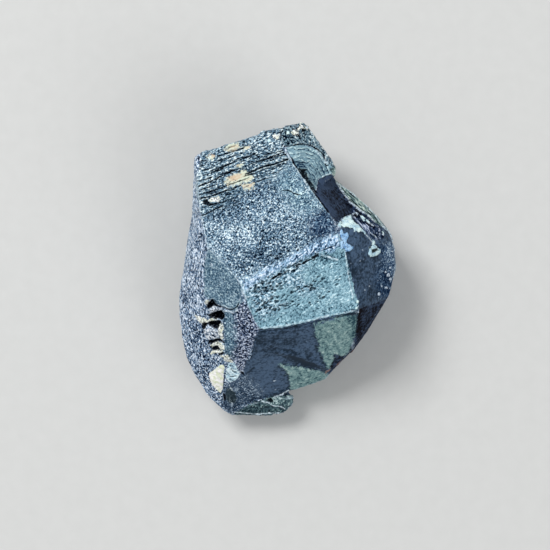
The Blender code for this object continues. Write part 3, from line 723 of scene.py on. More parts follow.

# %% [markdown]
# ## Thin scales, rims and crusts
# Some layers stand a hair above what they lie on: greenish scales on the dark break and the pale
# crusts. Thin rims along ridges and ledges are raised a hair as well, and painted pale as
# highlights. A reach turned into a steep ramp gives a plateau with a crisp border.

# %% Raise the scales, the rims and the crusts
# The brightness of a rim is how strong its painted highlight is.
BRIGHT_RIMS = [                             # course, width, height, brightness
    ([(-7.0, 9.1), (-7.3, 6.9), (-6.9, 4.3), (-6.45, 2.2)], 0.18, 0.03, 0.35),
    ([(-6.2, 1.7), (-5.1, 0.6), (-4.4, -0.2), (-3.75, -0.9)], 0.15, 0.04, 0.4),
    ([(-3.75, -0.95), (-3.35, -1.9), (-2.95, -3.3), (-2.35, -4.6)], 0.16, 0.04, 0.25),
    ([(-2.3, -4.55), (-0.4, -4.38), (1.4, -4.0), (3.5, -3.5), (5.5, -3.12)], 0.26, 0.04, 0.4),
    ([(4.25, 7.14), (4.54, 6.92), (4.95, 6.69), (5.36, 6.35), (5.78, 6.05)], 0.22, 0.05, 1.0),
    ([(5.78, 6.05), (6.35, 5.5), (6.84, 4.97), (7.33, 4.4), (7.74, 3.86), (8.07, 3.5),
      (8.4, 3.12), (8.65, 2.49), (8.8, 1.6)], 0.18, 0.03, 0.6),
    ([(4.04, 7.21), (4.28, 6.8), (4.68, 6.22), (5.08, 5.64), (5.49, 5.32), (5.9, 4.99),
      (6.39, 4.67), (6.8, 4.34), (7.04, 4.06)], 0.19, 0.06, 0.9),
    ([(8.4, 3.0), (8.7, 1.8), (8.85, 0.6), (8.62, -0.5)], 0.18, 0.02, 0.5),
    ([(7.64, 3.79), (7.98, 3.46), (8.33, 3.14), (8.5, 2.82)], 0.15, 0.04, 0.8),
    ([(5.22, 4.56), (5.44, 4.76), (5.65, 4.72), (5.69, 4.58)], 0.14, 0.05, 0.8),
    ([(6.47, 3.93), (6.63, 3.77), (6.89, 3.65)], 0.14, 0.05, 0.8),
    ([(6.62, 3.08), (6.87, 2.88), (7.15, 2.71)], 0.14, 0.06, 0.7),
    ([(6.19, 2.98), (6.36, 2.79), (6.57, 2.59), (6.78, 2.35)], 0.13, 0.05, 0.6),
    ([(4.58, 1.53), (4.67, 0.73), (4.8, -0.06), (4.97, -1.02), (5.22, -1.98)], 0.16, 0.03, 0.5),
    ([(-0.06, 9.49), (0.02, 9.33), (0.34, 8.83), (0.66, 8.26), (0.98, 7.77), (1.3, 7.28),
      (1.77, 6.47)], 0.15, 0.03, 0.6),
    ([(2.29, 9.78), (2.53, 9.54), (2.77, 9.22), (3.02, 8.76)], 0.14, 0.03, 0.8),
    ([(3.02, 9.23), (3.1, 8.99), (3.26, 8.67)], 0.14, 0.04, 1.0),
    ([(2.77, 7.6), (3.1, 7.82), (3.43, 7.89), (3.68, 7.78)], 0.12, 0.04, 0.55),
    ([(-5.34, -2.6), (-5.13, -2.76), (-4.8, -2.91), (-4.43, -2.93)], 0.13, 0.04, 0.5),
    ([(-5.3, -3.08), (-5.11, -3.18), (-4.62, -3.24), (-4.22, -3.2), (-4.01, -3.09)],
     0.14, 0.04, 0.9),
    ([(-2.1, -10.77), (-1.6, -10.89), (-1.1, -11.13), (-0.54, -11.19), (-0.21, -11.43)],
     0.16, 0.04, 0.6),
    ([(-4.5, -11.79), (-4.34, -11.7), (-2.66, -11.83), (-1.54, -11.79), (-0.71, -11.79)],
     0.16, 0.03, 0.8),
    ([(-4.79, -9.35), (-4.52, -9.82)], 0.14, 0.04, 0.8),
    ([(-1.1, -10.42), (-0.54, -10.3), (0.11, -9.84)], 0.16, 0.03, 0.8),
    ([(2.71, 1.3), (3.24, 1.11), (3.97, 0.91)], 0.16, 0.03, 0.8),
    ([(-3.6, -1.6), (-3.3, -2.2)], 0.25, 0.03, 0.6),
]
RUSTY_RIM = [(8.71, -0.51), (8.3, -2.16), (7.05, -4.03), (5.91, -5.76), (5.19, -6.92),
             (3.95, -7.75), (3.12, -8.37)]
DARK_RIB = [(-0.6, -6.56), (0.46, -6.75), (1.53, -7.13), (2.43, -7.51), (3.25, -8.0)]
RIB_WIDTH, RIB_HEIGHT = 0.7, 0.10
CRUSTS = {"scale": 0.09, "cream_crust": 0.12, "cream_patch": 0.10, "white_crust": 0.12,
          "blue_crust": 0.10, "ledge": 0.08, "tan_crust": 0.05, "veined": 0.05, "toe": 0.06}

for name, height in CRUSTS.items():
    press(name, height, ramp(faces[name], -0.04, 0.1) * (0.75 + 0.25 * small_wander))
bright = np.zeros(len(spots))
for number, (chain, width, height, brightness) in enumerate(BRIGHT_RIMS, start=1):
    weights = line_weights(chain, width)
    bright = np.maximum(bright, brightness * weights)
    press(f"bright rim {number}", height, weights)
off = distance_to_chain(DARK_RIB, spots)
press("dark rib", RIB_HEIGHT, (1.0 - ramp(off, 0.0, 0.5 * RIB_WIDTH)) * upper)

# %% [markdown]
# ## Crumbs and bubbles
# Loose crumbs of the pale crust sit in the crevice above the block, along its outer rim, on the
# knob at the top, on the even triangle and on the foot. Their places are drawn inside an outline,
# again with seeded random numbers, and some are paler than others. Round bubbles of it dot the
# block and the big break, each at a place of its own; the small one at -1.04, -9.78 on the big
# break is a painted glint.

# %% Scatter the crumbs
CRUMB_FIELDS = [                            # outline, number of crumbs, smallest, largest
    (CREVICE, 22, 0.04, 0.10),
    (BLOCK_RIM, 24, 0.04, 0.13),
    (KNOB, 8, 0.06, 0.13),
    (FOOT, 14, 0.05, 0.09),
    (TRIANGLE, 14, 0.05, 0.08),
]
BUBBLES = [                                 # place, size, paleness
    (5.98, 1.69, 0.14, 0.45), (5.77, 0.84, 0.13, 0.42), (6.05, 0.96, 0.10, 0.4),
    (6.19, -1.5, 0.12, 0.5), (7.34, -1.82, 0.16, 0.8), (6.55, -1.19, 0.11, 0.45),
    # The small bubble at -1.04, -9.78 is a painted glint.
    (5.0, 0.65, 0.10, 0.4), (-1.04, -9.78, 0.08, 0.8), (-1.07, -8.97, 0.11, 1.0),
    (5.4, 4.42, 0.10, 0.8), (8.15, -0.3, 0.2, 0.9), (8.35, -0.62, 0.15, 1.0),
    (7.92, -0.05, 0.12, 0.8), (7.6, -1.2, 0.10, 0.6), (8.3, 0.3, 0.12, 0.6),
]
CRUMB_HEIGHT = 0.10
CRUMB_LENGTH = 1.6                          # times the width
CRUMB_TURNS = (-1.0, 0.2)                   # the range of ways in which a crumb lies, in radians
PALENESS = (0.25, 0.7)                      # the dullest and the palest crumb


def draw_inside(outline):
    """A random place inside an outline."""
    while True:
        place = [chance.uniform(min(line), max(line)) for line in zip(*outline)]
        if depth_inside(outline, np.array([place]))[0] > 0:
            return place


crumbs = np.zeros(len(spots))
for outline, count, smallest, largest in CRUMB_FIELDS:
    for _ in range(count):
        x, y = draw_inside(outline)
        size, paleness = chance.uniform(smallest, largest), chance.uniform(*PALENESS)
        crumb = blot(x, y, size, CRUMB_LENGTH, chance.uniform(*CRUMB_TURNS))
        crumbs = np.maximum(crumbs, paleness * crumb)
for x, y, size, paleness in BUBBLES:
    crumbs = np.maximum(crumbs, paleness * blot(x, y, size))
press("crumbs", CRUMB_HEIGHT, crumbs)

# %% [markdown]
# ## Zones of painted light and shade
# A granular face isn't equally bright all over: the grains of one zone lie a little steeper than
# those of the next, so they catch the light differently, and here that light and shade is painted
# into the colour. The zones have soft borders, so each is an outline with a wide ramp. The crests
# and seams of the carved grains are added to the same number, as a painted highlight on the crests
# and painted shade in the seams.

# %% Outlines of the lighter and darker zones
TONES = [                                   # outline, how much lighter, softness in mm
    ([(-6.7, 3.1), (-5.4, 3.7), (-3.5, 3.8), (-2.6, 3.2), (-3.2, 2.2), (-4.4, 1.5), (-6.0, 1.7)],
     0.14, 0.7),
    ([(-6.7, 5.2), (-4.6, 5.5), (-3.9, 4.6), (-4.4, 3.9), (-5.6, 4.1), (-6.6, 4.3)], -0.15, 0.5),
    ([(-2.4, 4.2), (-1.4, 4.7), (-0.5, 4.4), (-0.6, 3.2), (-1.8, 2.8), (-2.4, 3.2)], 0.11, 0.5),
    ([(-4.4, 0.8), (-3.0, 0.9), (-1.2, 0.9), (-1.1, 0.5), (-2.6, 0.1), (-3.8, -0.4)], -0.15, 0.3),
    ([(-5.2, 7.9), (-3.2, 8.4), (-2.2, 7.2), (-1.7, 5.9), (-2.4, 5.6), (-3.4, 6.9), (-5.0, 7.2)],
     -0.10, 0.4),
    ([(-0.3, 7.9), (1.0, 7.1), (1.8, 5.9), (0.6, 5.8), (-0.6, 6.6)], 0.08, 0.4),
    ([(-3.9, -0.9), (-2.6, -0.1), (-0.9, 0.4), (-0.9, -0.5), (-2.2, -1.2), (-3.2, -1.9)],
     0.14, 0.3),
    ([(-2.5, 3.2), (-0.4, 3.7), (-0.4, 2.1), (-1.4, 1.1), (-2.7, 0.5), (-3.1, 1.6)], -0.05, 0.7),
    ([(0.2, 2.9), (1.5, 2.7), (2.3, 2.5), (1.5, 1.8), (0.4, 1.9)], -0.06, 0.4),
    ([(-5.6, 6.1), (-3.4, 6.4), (-3.8, 5.0), (-5.4, 4.5)], -0.10, 0.7),
    ([(-7.1, 8.7), (-5.2, 9.5), (-4.4, 8.7), (-6.8, 7.3)], -0.12, 0.6),
    ([(0.5, -0.4), (3.4, 1.0), (4.9, -0.6), (5.3, -2.8), (2.0, -3.4), (0.6, -2.2)], 0.02, 0.7),
    ([(-1.4, 1.1), (-0.5, 1.0), (0.2, 1.7), (-0.4, 1.9)], -0.15, 0.3),
    ([(-8.4, 8.0), (-7.2, 8.0), (-7.0, 1.0), (-8.8, 1.0)], 0.07, 0.5),
    ([(-7.4, 6.7), (-6.1, 6.9), (-6.0, 5.6), (-7.2, 5.4)], 0.09, 0.4),
    ([(4.2, 2.2), (4.9, 2.2), (5.4, -0.4), (4.85, -0.6), (4.3, 1.0)], -0.18, 0.2),
    ([(-3.4, -1.6), (-0.6, -0.4), (0.4, -0.6), (-0.4, -1.6), (-2.6, -3.2)], 0.07, 0.4),
    (STEEP, 0.02, 0.2),
    (NECK_SMOOTH, -0.09, 0.3),
    ([(1.5, 8.2), (2.6, 8.6), (3.6, 8.3), (3.4, 7.8), (2.4, 7.4), (2.3, 6.3), (1.6, 7.3)],
     -0.1, 0.4),
    ([(0.3, 8.9), (1.3, 8.85), (1.5, 8.4), (0.9, 8.25), (0.6, 8.5)], -0.35, 0.12),
    ([(0.0, 9.7), (1.8, 9.9), (2.4, 9.2), (0.6, 9.0)], 0.12, 0.3),
    ([(2.5, 7.45), (4.4, 8.2), (4.6, 7.2), (3.2, 6.6), (2.2, 6.25)], 0.35, 0.4),
    ([(2.6, 6.4), (3.2, 5.4), (3.9, 4.6), (3.6, 4.4), (2.2, 6.25)], 0.3, 0.3),
    ([(1.0, 0.6), (2.4, 0.9), (2.8, 0.1), (1.9, -0.9), (0.9, -0.7), (0.6, 0.0)], 0.11, 0.35),
    ([(2.6, 0.6), (3.9, 0.6), (4.4, -0.6), (4.6, -1.6), (3.6, -0.9)], 0.06, 0.4),
    ([(2.4, 1.3), (3.9, 1.6), (4.4, 0.9), (2.8, 0.7)], -0.14, 0.25),
    ([(2.6, -1.6), (4.8, -1.4), (5.3, -2.9), (2.8, -3.2)], 0.08, 0.5),
    ([(-0.6, 6.2), (1.6, 6.3), (2.6, 5.0), (1.4, 4.2), (-0.3, 4.4)], 0.11, 0.5),
    ([(-8.2, -4.8), (-6.6, -4.8), (-5.6, -8.6), (-7.2, -8.6)], -0.07, 0.6),
    ([(-2.2, -1.9), (-0.6, -1.7), (-0.2, -2.5), (-1.2, -3.0), (-2.2, -2.6)], 0.05, 0.4),
    ([(1.9, 11.4), (3.3, 9.2), (4.2, 8.6), (4.6, 9.4), (2.6, 12.0)], 0.30, 0.3),
    ([(-3.2, -1.9), (-1.9, -0.9), (-0.8, -2.0), (-1.0, -4.2), (-2.4, -4.5)], -0.04, 0.6),
    ([(-9.0, 1.0), (-7.1, 1.0), (-7.0, -4.0), (-9.0, -4.0)], 0.06, 0.9),
    ([(-0.6, -6.6), (0.5, -6.75), (1.5, -7.1), (2.4, -7.5), (3.2, -8.0), (2.4, -7.9), (0.5, -7.3)],
     -0.35, 0.3),
    ([(-2.6, -7.0), (-0.9, -7.6), (-0.2, -8.8), (-1.6, -10.4), (-3.0, -9.6)], 0.24, 0.9),
    ([(4.2, 3.2), (6.4, 3.0), (6.6, 0.9), (4.8, 0.4)], 0.15, 0.6),
    ([(-1.2, -10.5), (0.4, -10.3), (0.7, -10.6), (0.1, -11.2), (-1.0, -11.1)], 0.22, 0.15),
    ([(3.3, -4.2), (4.1, -4.1), (4.4, -5.2), (3.6, -5.4)], 0.10, 0.4),
    ([(4.5, -3.2), (6.0, -3.0), (6.0, -5.3), (5.3, -5.3), (5.0, -4.2)], -0.28, 0.35),
    ([(3.0, -5.3), (5.1, -5.3), (5.0, -6.6), (3.6, -7.2)], 0.10, 0.4),
    ([(0.0, -4.7), (1.7, -4.6), (2.3, -6.3), (0.6, -6.3)], 0.15, 0.4),
    ([(-5.6, -8.4), (-3.4, -8.0), (-2.6, -9.4), (-3.4, -10.4), (-5.0, -9.8)], 0.12, 0.5),
    ([(-2.0, 11.0), (-0.6, 12.3), (0.9, 12.3), (1.0, 11.0), (0.4, 10.3), (-0.6, 10.6)], -0.14, 0.4),
    ([(7.9, 2.6), (9.0, 2.4), (9.1, -0.6), (8.2, -0.4), (7.7, 1.2)], 0.22, 0.4),
    ([(5.6, 3.8), (6.5, 3.4), (7.4, 2.4), (6.8, 2.2), (6.0, 2.9)], 0.30, 0.3),
]
print("zones:", len(TONES))

# %% [markdown]
# ## Chipped edges, and numbers for the material
# Last of all the sharpest edges are chipped. The finished skin then says which corners are crests
# and which are seams. All that the material has to know is stored on the mesh, one number per
# corner under its own name, so that it goes wherever the mesh goes.

# %% Chip the edges and store the numbers
CHIP_DEPTH = 0.10
CREST_FULL = 0.016                          # mm by which the crest of a grain stands out
# A full crest is painted lighter by this, as a highlight, and a seam darker, as shade.
CREST_LIFT = 0.2                            # how much lighter a full crest is
DRIFT = 0.1                                 # how much the tone drifts over a granular face

press("chipped edges", -CHIP_DEPTH,
      wear_and_highlight * ramp(broad_wander + small_wander, 0.1, 0.6) * off_floor)
crests = np.clip(standing_out(0) / CREST_FULL, -1.0, 1.0)
lift = CREST_LIFT * crests + DRIFT * broad_wander * granular
for outline, amount, softness in TONES:
    lift = lift + amount * ramp(depth_inside(outline, spots), -softness, softness) * upper


def store(name, values):
    """Keep one number per corner on the mesh, where a material can read it."""
    attribute = mesh.attributes.new(name, "FLOAT", "POINT")
    attribute.data.foreach_set("value", values.astype(np.float32))
    print(f"{name}: from {values.min():.2f} to {values.max():.2f}, mean {values.mean():.3f}")


for name, values in faces.items():
    store(name, values)
store("wear_and_highlight", wear_and_highlight)
store("painted_shade", painted_shade)
store("bright", bright)
store("crumbs", crumbs)
store("rusty", ramp(wear_and_highlight, 0.1, 0.4) - ramp(distance_to_chain(RUSTY_RIM, spots), 0.04, 0.14))
store("lift", lift)
store("shell_depth", from_arch)
select_only(crystal)
bpy.ops.object.shade_smooth()

# %% [markdown]
# ## Writing shader nodes in code
# Each node is one line: its kind, what goes into it, and its options. A value that is a socket
# of another node becomes a link, and anything else a setting.

# %% Node helpers


def paint(red, green, blue):
    """A colour as a paint chart gives it, 0 to 255, in the linear values that shaders use."""
    return tuple((part / 255) ** 2.2 for part in (red, green, blue)) + (1.0,)


def add(tree, kind, inputs=(), **options):
    """Add a node, set its options, and feed its inputs with values or other nodes' outputs."""
    made = tree.nodes.new("ShaderNode" + kind)
    for name, value in options.items():
        setattr(made, name, value)
    for name, value in dict(inputs).items():
        if isinstance(value, bpy.types.NodeSocket):
            tree.links.new(value, made.inputs[name])
        else:
            made.inputs[name].default_value = value
    return made


def maths(tree, operation, first, second=0.0):
    """Reckon with two values."""
    return add(tree, "Math", {0: first, 1: second}, operation=operation).outputs[0]


def swing(tree, value, middle, amount):
    """Make a value swing about 0 by an amount, from one that swings about its middle."""
    return maths(tree, "MULTIPLY", maths(tree, "SUBTRACT", value, middle), amount)


def rise(tree, value, start, end, low=0.0, high=1.0):
    """Turn a value smoothly from low to high while it goes from start to end."""
    spread = add(tree, "MapRange", {"Value": value, "From Min": start, "From Max": end,
                                    "To Min": low, "To Max": high}, interpolation_type="SMOOTHSTEP")
    return spread.outputs["Result"]


def blend_colours(tree, share, first, second):
    """Go from the first colour to the second by a share."""
    mixed = add(tree, "Mix", {0: share, 6: first, 7: second}, data_type="RGBA")
    return mixed.outputs[2]


def blend_values(tree, share, first, second):
    """Go from the first value to the second by a share."""
    return add(tree, "Mix", {0: share, 2: first, 3: second}).outputs[0]


print("helpers for nodes are ready")

# %% [markdown]
# ## Node groups
# A pattern that several finishes share is built once, as a node group with named inputs. Each
# finish then places the group with its own values.

# %% Helpers for node groups


def new_group(title, inputs, outputs):
    """An empty node group with named inputs and outputs, as (group, its input sockets)."""
    group = bpy.data.node_groups.new(title, "ShaderNodeTree")
    for name, kind in inputs.items():
        group.interface.new_socket(name, in_out="INPUT", socket_type="NodeSocket" + kind)
    for name, kind in outputs.items():
        group.interface.new_socket(name, in_out="OUTPUT", socket_type="NodeSocket" + kind)
    return group, group.nodes.new("NodeGroupInput").outputs


def close_group(group, results):
    """Lead the finished sockets to the group's outputs."""
    ending = group.nodes.new("NodeGroupOutput")
    for name, socket in results.items():
        group.links.new(socket, ending.inputs[name])
    print("node group", group.name, "has", len(group.nodes), "nodes")


# %% [markdown]
# ## Torn borders
# Between two finishes the border is torn at a scale far below the cells of the skin. The reach
# of a face is smooth, so adding fine noise to it and cutting it sharply gives a border as ragged
# as we like.

# %% A group that turns a reach into a torn mask
torn_border, given = new_group(
    "torn_border",
    {"Place": "Vector", "Reach": "Float", "Tear": "Float", "Softness": "Float"},
    {"Mask": "Float"})
tear = add(torn_border, "TexNoise", {"Vector": given["Place"], "Scale": 5.0, "Detail": 4.0})
shift = swing(torn_border, tear.outputs[0], 0.5, given["Tear"])
edge = maths(torn_border, "ADD", given["Reach"], shift)
below = maths(torn_border, "MULTIPLY", given["Softness"], -1.0)
mask = rise(torn_border, edge, below, given["Softness"])
close_group(torn_border, {"Mask": mask})

# %% [markdown]
# ## Granular stone
# The granular faces are made of grains and worm-like seams between them. A noise texture gives the
# grains, and a second noise folded at its middle gives the seams, because the fold leaves thin
# closed lines. Four colours, from the seam to the sparkling crest of a grain, are laid over each
# other at rising levels; the palest, the spark, is a painted glint. The lift that was stored on the
# mesh shifts the level, so the carved grains and the painted ones agree, and the painted light and
# shade of crests, seams and zones comes in with it. The crests are the glossy part.

# %% The group for granular faces
LEVEL = 0.45                                # the level of a middling grain
GRAIN_SWING, SEAM_SWING, ZONE_SWING = 2.6, 2.2, 0.5     # how far each noise moves the level
MEAN_FOLD = 0.08                            # the folded noise, on average
SEAM_SIZE = 0.7                             # the scale of the seams, as a share of the grains'
granular_stone, given = new_group(
    "granular_stone",
    {"Place": "Vector", "Grain": "Float", "Contrast": "Float", "Lift": "Float",
     "Seam": "Color", "Body": "Color", "Crest": "Color", "Spark": "Color"},
    {"Color": "Color", "Roughness": "Float", "Coat": "Float", "Height": "Float"})
tree = granular_stone
grains = add(tree, "TexNoise", {"Vector": given["Place"], "Scale": given["Grain"], "Detail": 2.0,
                                "Roughness": 0.55, "Distortion": 0.7}).outputs[0]
wider = maths(tree, "MULTIPLY", given["Grain"], SEAM_SIZE)
seams = add(tree, "TexNoise", {"Vector": given["Place"], "Scale": wider, "Detail": 1.0,
                               "Distortion": 1.4}).outputs[0]
fold = maths(tree, "ABSOLUTE", maths(tree, "SUBTRACT", seams, 0.5))
zones = add(tree, "TexNoise", {"Vector": given["Place"], "Scale": 0.8, "Detail": 3.0}).outputs[0]
level = maths(tree, "ADD", swing(tree, grains, 0.5, GRAIN_SWING),
              swing(tree, fold, MEAN_FOLD, SEAM_SWING))
level = maths(tree, "MULTIPLY", level, given["Contrast"])
level = maths(tree, "ADD", level, swing(tree, zones, 0.5, ZONE_SWING))
level = maths(tree, "ADD", level, maths(tree, "ADD", given["Lift"], LEVEL))
colour = blend_colours(tree, rise(tree, level, 0.12, 0.38), given["Seam"], given["Body"])
colour = blend_colours(tree, rise(tree, level, 0.42, 0.64), colour, given["Crest"])
# The spark colour on the highest grains is a painted glint.
colour = blend_colours(tree, rise(tree, level, 0.70, 0.86), colour, given["Spark"])
close_group(tree, {"Color": colour, "Roughness": rise(tree, level, 0.0, 1.0, 0.65, 0.32),
                   "Coat": rise(tree, level, 0.5, 0.9, 0.0, 0.5),
                   "Height": rise(tree, level, -0.2, 1.2)})

# %% [markdown]
# ## Glassy breaks
# A fresh break is nearly black and smooth. What is seen on it is faint: cloudy patches, fine
# dust and a few pale specks. It is kept dark and given a lower roughness and a thin coat.

# %% The group for glassy breaks
DUST_SWING = 1.5                            # how far the dust shifts the haze
SPECK_COVER = 0.8                           # how well a speck covers the stone
DUST_HEIGHT, SPECK_HEIGHT = 0.3, 0.4        # as shares of the bump's height
glassy_break, given = new_group(
    "glassy_break",
    {"Place": "Vector", "Lift": "Float", "Specks": "Float", "Gloss": "Float",
     "Deep": "Color", "Veil": "Color", "Speck": "Color"},
    {"Color": "Color", "Roughness": "Float", "Coat": "Float", "Height": "Float"})
tree = glassy_break
clouds = add(tree, "TexNoise", {"Vector": given["Place"], "Scale": 0.9, "Detail": 6.0,
                                "Roughness": 0.62, "Distortion": 0.6}).outputs[0]
dust = add(tree, "TexNoise", {"Vector": given["Place"], "Scale": 4.5, "Detail": 3.0,
                              "Roughness": 0.6}).outputs[0]
haze = maths(tree, "ADD", maths(tree, "ADD", clouds, given["Lift"]),
             swing(tree, dust, 0.5, DUST_SWING))
colour = blend_colours(tree, rise(tree, haze, 0.25, 0.85), given["Deep"], given["Veil"])
specks = rise(tree, maths(tree, "ADD", dust, given["Specks"]), 0.70, 0.78)
colour = blend_colours(tree, maths(tree, "MULTIPLY", specks, SPECK_COVER), colour, given["Speck"])
height = maths(tree, "ADD", maths(tree, "MULTIPLY", dust, DUST_HEIGHT),
               maths(tree, "MULTIPLY", specks, SPECK_HEIGHT))
close_group(tree, {"Color": colour, "Roughness": rise(tree, clouds, 0.3, 0.7, 0.22, 0.38),
                   "Coat": given["Gloss"], "Height": height})

# %% [markdown]
# ## Crusts
# A crust is a thin, dull, pale coat, cracked and stained. Cloudy noise stains it, and where a
# finer noise dips the stone below shows through.

# %% The group for pale crusts
CRUST_COAT = 0.1                            # the gloss of a crust, at most
CRUST_HEIGHT = 1.2                          # as a share of the bump's height
pale_crust, given = new_group(
    "pale_crust",
    {"Place": "Vector", "Gaps": "Float", "Pale": "Color", "Stain": "Color", "Gap": "Color"},
    {"Color": "Color", "Roughness": "Float", "Coat": "Float", "Height": "Float"})
tree = pale_crust
stains = add(tree, "TexNoise", {"Vector": given["Place"], "Scale": 2.4, "Detail": 4.0,
                                "Roughness": 0.65}).outputs[0]
bits = add(tree, "TexNoise", {"Vector": given["Place"], "Scale": 6.5, "Detail": 3.0,
                              "Roughness": 0.65, "Distortion": 1.0}).outputs[0]
colour = blend_colours(tree, rise(tree, stains, 0.38, 0.66), given["Pale"], given["Stain"])
whole = rise(tree, maths(tree, "SUBTRACT", bits, given["Gaps"]), 0.30, 0.38)
colour = blend_colours(tree, whole, given["Gap"], colour)
close_group(tree, {"Color": colour, "Roughness": rise(tree, bits, 0.3, 0.7, 0.5, 0.75),
                   "Coat": maths(tree, "MULTIPLY", bits, CRUST_COAT),
                   "Height": maths(tree, "MULTIPLY", bits, CRUST_HEIGHT)})

# %% [markdown]
# ## Layered scar
# The shell-shaped scar shows the edges of thin layers as fine lines. They follow the distance to
# the arch, which is stored on the mesh.

# %% The group for layered scars
BEND = 0.9                                  # mm by which the layers bend to and fro
LAYERS, FINE_LAYERS = 2.9, 5.7              # how many there are in a millimetre
LAYER_TONE, FINE_TONE, CLOUD_TONE = 0.45, 0.3, 1.2      # how much each changes the tone
layered_scar, given = new_group(
    "layered_scar",
    {"Place": "Vector", "Depth": "Float", "Lift": "Float", "Line": "Color", "Body": "Color",
     "Lip": "Color"},
    {"Color": "Color", "Roughness": "Float", "Coat": "Float", "Height": "Float"})
tree = layered_scar
bends = add(tree, "TexNoise", {"Vector": given["Place"], "Scale": 1.2, "Detail": 3.0}).outputs[0]
bent = maths(tree, "ADD", given["Depth"], maths(tree, "MULTIPLY", bends, BEND))
saw = maths(tree, "FRACT", maths(tree, "MULTIPLY", bent, LAYERS))
fine_saw = maths(tree, "FRACT", maths(tree, "MULTIPLY", bent, FINE_LAYERS))
clouds = add(tree, "TexNoise", {"Vector": given["Place"], "Scale": 5.0, "Detail": 3.0,
                                "Roughness": 0.6}).outputs[0]
tone = maths(tree, "ADD", maths(tree, "MULTIPLY", saw, LAYER_TONE),
             maths(tree, "MULTIPLY", fine_saw, FINE_TONE))
tone = maths(tree, "ADD", tone, swing(tree, clouds, 0.5, CLOUD_TONE))
tone = maths(tree, "ADD", tone, given["Lift"])
colour = blend_colours(tree, rise(tree, tone, 0.02, 0.30), given["Line"], given["Body"])
colour = blend_colours(tree, rise(tree, tone, 0.48, 0.80), colour, given["Lip"])
close_group(tree, {"Color": colour, "Roughness": rise(tree, clouds, 0.3, 0.7, 0.36, 0.55),
                   "Coat": rise(tree, tone, 0.4, 0.8, 0.05, 0.25), "Height": tone})

# %% [markdown]
# ## One material for the whole crystal
# The finishes are stacked like coats of paint. Each coat is a group with its own colours, and
# the torn mask of its face decides where it covers the coats below. Colour, roughness, gloss and
# height are stacked together, so a border changes all four at once.

# %% Start the material and its helpers
material = bpy.data.materials.new("uraninite_faces")
material.use_nodes = True
tree = material.node_tree
tree.nodes.clear()
OBJECT_TO_MM = 1000.0
object_place = add(tree, "TexCoord").outputs["Object"]
place = add(tree, "VectorMath", {0: object_place, "Scale": OBJECT_TO_MM},
            operation="SCALE").outputs[0]
PARTS = {"Color": blend_colours, "Roughness": blend_values, "Coat": blend_values,
         "Height": blend_values}


def turned_place(angle, drawn_out):
    """The place turned by an angle and drawn out along it, for streaky patterns."""
    turned = add(tree, "Mapping", {"Vector": place, "Rotation": (0.0, 0.0, -angle)})
    return add(tree, "VectorMath", {0: turned.outputs[0], 1: (1.0 / drawn_out, 1.0, 1.0)},
               operation="MULTIPLY").outputs[0]


def finish(group, at=None, **values):
    """One finish: its group with its own values, as a dictionary of its outputs."""
    node = add(tree, "Group", {"Place": at or place, **values}, node_tree=group)
    return {part: node.outputs[part] for part in PARTS}


def stored(name):
    """The number that is stored on the mesh under a name."""
    return add(tree, "Attribute", attribute_name=name).outputs["Fac"]


def cover(under, coat, face, tear=0.25, softness=0.03):
    """Lay a coat over what is below it, inside the torn border of a face."""
    border = {"Place": place, "Reach": stored(face), "Tear": tear, "Softness": softness}
    mask = add(tree, "Group", border, node_tree=torn_border).outputs["Mask"]
    return {part: blend(tree, mask, under[part], coat[part]) for part, blend in PARTS.items()}


lift = stored("lift")


def grainy(grain, contrast, seam, body, crest, spark, at=None, more=0.0):
    """A granular finish; its four colours go from the seam to the spark."""
    return finish(granular_stone, at, Grain=grain, Contrast=contrast,
                  Lift=maths(tree, "ADD", lift, more), Seam=paint(*seam), Body=paint(*body),
                  Crest=paint(*crest), Spark=paint(*spark))


def crusty(gaps, pale, stain, gap, at=None):
    """A crust; its colours are the clean crust, the stains in it and the stone below."""
    return finish(pale_crust, at, Gaps=gaps, Pale=paint(*pale), Stain=paint(*stain),
                  Gap=paint(*gap))


print("the material starts with", len(tree.nodes), "nodes")

# %% [markdown]
# ## The flank and the front
# The first coat is the finish of the left flank and the sides, whose grains are drawn out down
# the slope. The front comes over it. It has a calm zone, a striated zone whose grains are drawn
# out along the growth lines, and a dim patch, which blend into each other softly.

# %% Coats of the flank and the front
DOWN_FLANK = math.radians(86)
surface = grainy(7.0, 1.25, (10, 18, 36), (80, 104, 134), (140, 168, 198), (228, 240, 252),
                 at=turned_place(DOWN_FLANK, drawn_out=1.5), more=0.05)
front = grainy(8.2, 1.0, (6, 14, 28), (78, 106, 132), (132, 166, 190), (222, 240, 246))
growth = grainy(8.4, 1.0, (4, 10, 22), (80, 108, 130), (138, 170, 190), (226, 240, 242),
                at=turned_place(GROWTH_ANGLE, drawn_out=1.8), more=0.01)
calm = grainy(7.2, 0.85, (22, 46, 66), (86, 116, 136), (126, 160, 180), (202, 228, 232),
              more=-0.02)
dim = grainy(7.0, 0.8, (12, 24, 44), (50, 72, 98), (84, 112, 138), (150, 178, 200), more=-0.10)
front = cover(front, calm, "smooth_front", tear=2.4, softness=0.7)
front = cover(front, growth, "striated", tear=1.6, softness=0.5)
front = cover(front, dim, "dim", tear=1.4, softness=0.5)
surface = cover(surface, front, "front", tear=0.12)
print("flank and front:", len(tree.nodes), "nodes so far")

# %% [markdown]
# ## The band, the ridge and the neck
# The band is paler and smoother than the front, with a pitted zone whose pits lie in rows. The
# strip along the ridge is the palest, with grains that are drawn out across it. Below the left end
# of the ridge lie the even triangle and the darker neck.

